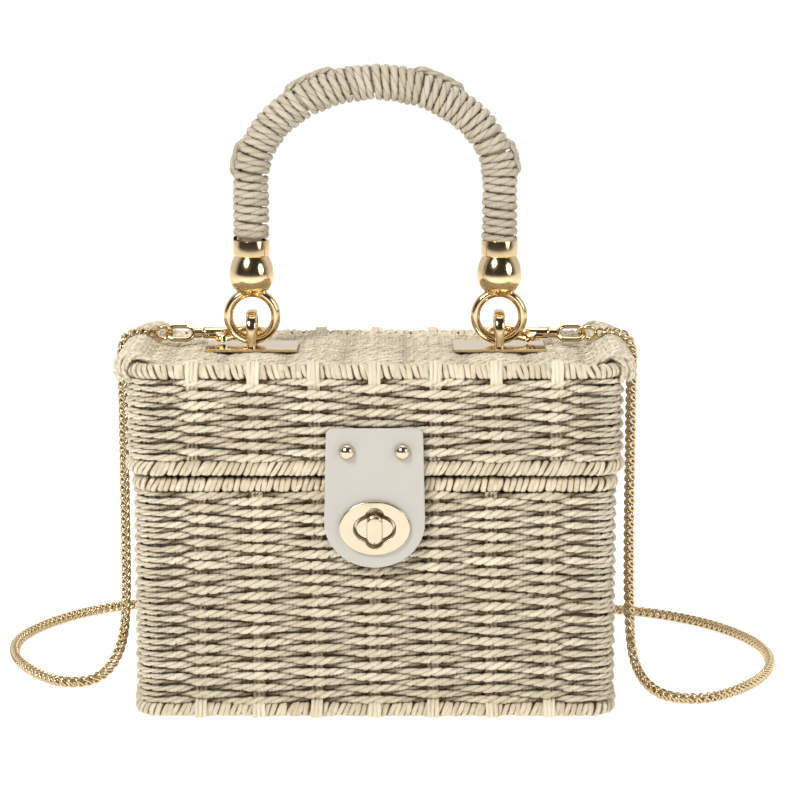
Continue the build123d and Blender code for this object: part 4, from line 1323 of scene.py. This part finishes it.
# --- linings ----------------------------------------------------------------------------------
class BAG_OT_linings(bpy.types.Operator):
    """Sews the cotton linings of the basket and the lid"""

    bl_idname = "bag.linings"
    bl_label = "Linings"

    def execute(self, context):
        self.lining("body_lining", "basket_lining", "basket", open_up=True)
        self.lining("lid_lining", "lid_lining_cloth", "lid", open_up=False)
        return {"FINISHED"}

    def lining(self, node, name, body, open_up):
        low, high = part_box(node)
        if not open_up:
            hem = 2.6 * MM  # closes the gaps between the lid's lowest rows
            low = low - Vector((0, 0, hem))
        centre, size = (low + high) / 2, high - low
        deselect()
        bpy.ops.mesh.primitive_cube_add(size=1, location=centre, scale=size)
        made = bpy.context.object
        made.name = name
        settle(made)
        shell = bmesh.new()
        shell.from_mesh(made.data)
        open_z = high.z if open_up else low.z
        mouth = [f for f in shell.faces if all(abs(v.co.z - open_z) < 0.01 * MM for v in f.verts)]
        bmesh.ops.delete(shell, geom=mouth, context="FACES_ONLY")
        upright_edges = [e for e in shell.edges if abs(e.verts[0].co.z - e.verts[1].co.z) > 5 * MM]
        bmesh.ops.bevel(shell, geom=upright_edges, offset=15.0 * MM, segments=7, profile=0.5, affect="EDGES")
        for axis, reach, count in ((0, size.x, 28), (1, size.y, 14), (2, size.z, 14)):
            normal = [0, 0, 0]
            normal[axis] = 1
            for k in range(1, count):
                spot = list(centre)
                spot[axis] += reach * (k / count - 0.5)
                everything = shell.verts[:] + shell.edges[:] + shell.faces[:]
                bmesh.ops.bisect_plane(shell, geom=everything, plane_co=spot, plane_no=normal)
        bmesh.ops.remove_doubles(shell, verts=shell.verts, dist=0.02 * MM)
        shell.normal_update()
        slack = 0.45 * MM  # how far the cloth stands in from the wall at most
        for vertex in shell.verts:
            x, y, z = vertex.co / MM
            puff = math.sin(x * 0.21 + math.sin(z * 0.13) * 2) * math.sin(z * 0.17 + y * 0.24 + 1.0)
            inward = (centre - vertex.co) * Vector((1, 1, 0.4))
            vertex.co += inward.normalized() * slack * (0.5 + 0.5 * puff)
        bmesh.ops.recalc_face_normals(shell, faces=shell.faces)
        shell.to_mesh(made.data)
        shell.free()
        choose(made)
        cloth = made.modifiers.new("cloth", "SOLIDIFY")
        cloth.thickness = 0.7 * MM
        cloth.offset = 0.0
        bpy.ops.object.modifier_apply(modifier="cloth")
        bpy.ops.object.shade_smooth_by_angle(angle=math.radians(50))
        dress(made, body, "lining_cloth", "lining cotton", node)


# --- chain strap ------------------------------------------------------------------------------
ROUTE_LEFT = [
    (-94.6, 8.2, 152.4), (-103.5, 7.6, 153.2), (-108.2, 6.0, 147.5), (-107.2, 3.0, 133.0),
    (-107.2, 3.0, 101.5), (-107.2, 3.0, 71.0), (-107.2, 2.6, 38.0), (-109.2, 3.4, 16.0),
]
ROUTE_FLOOR = [
    (-118.5, 1.6, 2.1), (-133.5, -5.5, 2.1), (-149.0, 11.0, 2.1), (-162.0, 38.0, 2.1),
    (-165.0, 70.0, 2.1), (-153.0, 101.0, 2.1), (-132.0, 126.0, 2.1), (-104.0, 138.0, 2.1),
    (-76.0, 130.0, 2.1), (-54.0, 108.0, 2.1), (-27.0, 92.0, 2.1), (4.0, 94.0, 2.1),
    (31.0, 110.0, 2.1), (59.0, 125.0, 2.1), (92.0, 128.0, 2.1), (122.0, 121.0, 2.1),
    (149.0, 103.0, 2.1), (168.0, 76.0, 2.1), (176.0, 46.0, 2.1), (172.0, 14.0, 2.1),
    (156.0, -14.0, 2.1), (136.0, -31.0, 2.1), (118.0, -22.0, 2.1),
]
ROUTE_RIGHT = [
    (110.0, -6.0, 11.0), (108.8, 1.5, 32.0), (108.4, 2.8, 67.0), (108.4, 2.8, 101.5),
    (108.4, 2.8, 132.5), (109.0, 5.2, 147.2), (104.0, 7.4, 153.4), (94.6, 8.2, 152.4),
]


def smooth_route(points):
    """Points read from the smooth line whose control points are given in millimetres."""
    line = bpy.data.curves.new("strap route", "CURVE")
    line.dimensions = "3D"
    line.resolution_u = 16
    spline = line.splines.new("NURBS")
    spline.points.add(len(points) - 1)
    for point, place in zip(spline.points, points):
        point.co = (*[c * MM for c in place], 1.0)
    spline.order_u = 3
    spline.use_endpoint_u = True
    holder = add_object("strap route", line)
    bpy.context.view_layer.update()
    depsgraph = bpy.context.evaluated_depsgraph_get()
    sampled = bpy.data.meshes.new_from_object(holder.evaluated_get(depsgraph))
    places = np.array([v.co for v in sampled.vertices])
    bpy.data.objects.remove(holder)
    bpy.data.meshes.remove(sampled)
    return places


class BAG_OT_strap(bpy.types.Operator):
    """Lays the chain strap, link by link"""

    bl_idname = "bag.strap"
    bl_label = "Chain strap"

    def execute(self, context):
        sizes = context.scene.bag_strap
        route = smooth_route(ROUTE_LEFT + ROUTE_FLOOR + ROUTE_RIGHT)
        run = run_along(route)
        total = float(run[-1])
        count = round(total / sizes.pitch)
        segments = 12
        around = np.arange(segments) * TURN / segments
        c, sn = np.cos(around)[:, None], np.sin(around)[:, None]
        lean, roll_each = math.radians(34), math.radians(30)
        roll_on_floor, floor_reach = math.radians(62), 45 * MM
        half = 0.5 * MM

        def spot(s):
            return np.array([np.interp(s, run, route[:, i]) for i in range(3)])

        strands = Strands()
        side = BACK
        rng = np.random.default_rng(41)
        for k in range(count):
            s = (k + 0.5) * total / count
            ahead = spot(s + half) - spot(s - half)
            along = ahead / np.linalg.norm(ahead)
            middle = spot(s)
            side = side - along * float(side @ along)
            side /= np.linalg.norm(side)
            third = np.cross(along, side)
            way = 1 if k % 2 else -1
            roll = roll_each * way + rng.uniform(-0.05, 0.05)
            roll += roll_on_floor * (1 - eased(min(middle[2] / floor_reach, 1)))
            wide = side * math.cos(roll) + third * math.sin(roll)
            long_way = along * math.cos(lean) + np.cross(along, wide) * math.sin(lean) * way
            face = np.tile(np.cross(long_way, wide), (segments, 1))
            ring = middle + long_way * c * sizes.long_radius + wide * sn * sizes.short_radius
            strands.add(
                ring, long_way * c + wide * sn, face, round_profile(5), sizes.wire, sizes.wire, 0.0, True,
                rng.uniform(0, 1),
            )
        chain = strands.mesh("chain_strap")
        stand_on_floor(chain)
        dress(
            chain, None, "gold_metal", "chain plating",
            "chain_upper_left", "chain_lower", "chain_upper_right",
        )
        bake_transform(chain)
        return {"FINISHED"}


# --- the frame's own fittings -----------------------------------------------------------------
class BAG_OT_fittings(bpy.types.Operator):
    """Plates the fittings that keep the frame's own shape"""

    bl_idname = "bag.fittings"
    bl_label = "Small fittings"

    def execute(self, context):
        looks = {
            "frame wire": ("body_corner_posts", "lid_corner_posts"),
            "handle rope": ("handle_core",),
            "champagne plating": ("lock_base", "lock_washer", "lock_plate_back", "tab_rivet"),
        }
        made = finishes(context)
        for name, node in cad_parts.items():
            chosen = "gold plating"
            for look, starts in looks.items():
                if name.startswith(starts):
                    chosen = look
            node.data.materials.clear()
            node.data.materials.append(made[chosen])
        return {"FINISHED"}


# --- stage ------------------------------------------------------------------------------------
class BAG_OT_stage(bpy.types.Operator):
    """Sets the camera, the floor and the soft lights"""

    bl_idname = "bag.stage"
    bl_label = "Stage"

    def execute(self, context):
        scene = context.scene
        lens = bpy.data.cameras.new("camera")
        lens.lens = 118.6
        lens.sensor_width = 36.0
        lens.clip_end = 50.0
        camera = add_object("camera", lens)
        look_down = 0.1716  # radians
        camera.location = (10.3 * MM, -1100 * MM, 315.5 * MM)
        camera.rotation_euler = (math.pi / 2 - look_down, 0, 0)
        scene.camera = camera
        deselect()
        bpy.ops.mesh.primitive_plane_add(size=60.0, location=(0, 20.0, 0))
        floor = context.object
        floor.name = "floor"
        paint = Finish("studio floor")
        speck = paint.noise(paint.place(), 8.0, 2.0)
        tint = list(scene.bag_colours.floor)
        paint.put(Base_Color=paint.blend(speck * 0.2, tint, [c * 0.98 for c in tint]), Roughness=0.75)
        paint.shader.inputs["Emission Color"].default_value = (1, 1, 1, 1)
        paint.shader.inputs["Emission Strength"].default_value = 0.72
        floor.data.materials.append(paint.material)
        self.light("key", (-0.6, -0.95, 1.0), 0.5, 13.4)
        self.light("fill", (1.1, -0.8, 0.6), 0.7, 5.0)
        self.light("top", (0.1, 0.2, 1.5), 1.2, 7.0)
        scene.view_settings.view_transform = "Standard"
        self.sky(scene)
        return {"FINISHED"}

    def light(self, name, place, size, power):
        """Round lamp of so many metres and watts, turned to the bag's middle."""
        data = bpy.data.lights.new(name, "AREA")
        data.shape = "DISK"
        data.size = size
        data.energy = power
        lamp = add_object(name, data)
        lamp.location = place
        bag_middle = Vector((0, 0, 120 * MM))
        lamp.rotation_euler = (bag_middle - lamp.location).to_track_quat("-Z", "Y").to_euler()

    def sky(self, scene):
        """Pale studio walls: white behind and above, darker behind the camera."""
        world = bpy.data.worlds.new("studio")
        scene.world = world
        world.use_nodes = True
        tree = world.node_tree
        direction = tree.nodes.new("ShaderNodeTexCoord")
        split = tree.nodes.new("ShaderNodeSeparateXYZ")
        tree.links.new(direction.outputs["Generated"], split.inputs[0])
        ramp = tree.nodes.new("ShaderNodeValToRGB")
        spread = tree.nodes.new("ShaderNodeMapRange")
        spread.inputs["From Min"].default_value = -1.0
        tree.links.new(split.outputs["Y"], spread.inputs["Value"])
        stops = ((0.36, (0.05, 0.045, 0.04, 1)), (0.6, (1, 1, 1, 1)))
        for stop, (position, shade) in zip(ramp.color_ramp.elements, stops):
            stop.position = position
            stop.color = shade
        tree.links.new(spread.outputs[0], ramp.inputs[0])
        tree.links.new(ramp.outputs[0], tree.nodes["Background"].inputs["Color"])
        tree.nodes["Background"].inputs["Strength"].default_value = 0.8


class BAG_PT_panel(bpy.types.Panel):
    """Lists the bag's sizes and colours, then its pieces"""

    bl_label = "Straw box bag"
    bl_idname = "BAG_PT_panel"
    bl_space_type = "VIEW_3D"
    bl_region_type = "UI"
    bl_category = "Bag"

    def draw(self, context):
        for group in GROUPS:
            box = self.layout.box()
            values = getattr(context.scene, group)
            for name in values.bl_rna.properties.keys():
                if name not in ("rna_type", "name"):
                    box.prop(values, name)
        for operator in OPERATORS:
            self.layout.operator(operator.bl_idname)


GROUPS = {"bag_weave": BagWeave, "bag_handle": BagHandle, "bag_strap": BagStrap, "bag_colours": BagColours}
OPERATORS = (
    BAG_OT_stage, BAG_OT_strap, BAG_OT_body_wall, BAG_OT_lid_wall, BAG_OT_lid_top, BAG_OT_base, BAG_OT_rims,
    BAG_OT_lashings, BAG_OT_handle, BAG_OT_handle_caps, BAG_OT_staples, BAG_OT_tab, BAG_OT_lock,
    BAG_OT_hooks, BAG_OT_linings, BAG_OT_fittings,
)


def register():
    for made in (*GROUPS.values(), *OPERATORS, BAG_PT_panel):
        bpy.utils.register_class(made)
    for name, group in GROUPS.items():
        setattr(bpy.types.Scene, name, PointerProperty(type=group))


def unregister():
    for name in GROUPS:
        delattr(bpy.types.Scene, name)
    for made in reversed((*GROUPS.values(), *OPERATORS, BAG_PT_panel)):
        bpy.utils.unregister_class(made)


def main():
    register()
    for operator in OPERATORS:
        group, name = operator.bl_idname.split(".")
        getattr(getattr(bpy.ops, group), name)()
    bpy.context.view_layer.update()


if __name__ == "__main__":
    main()
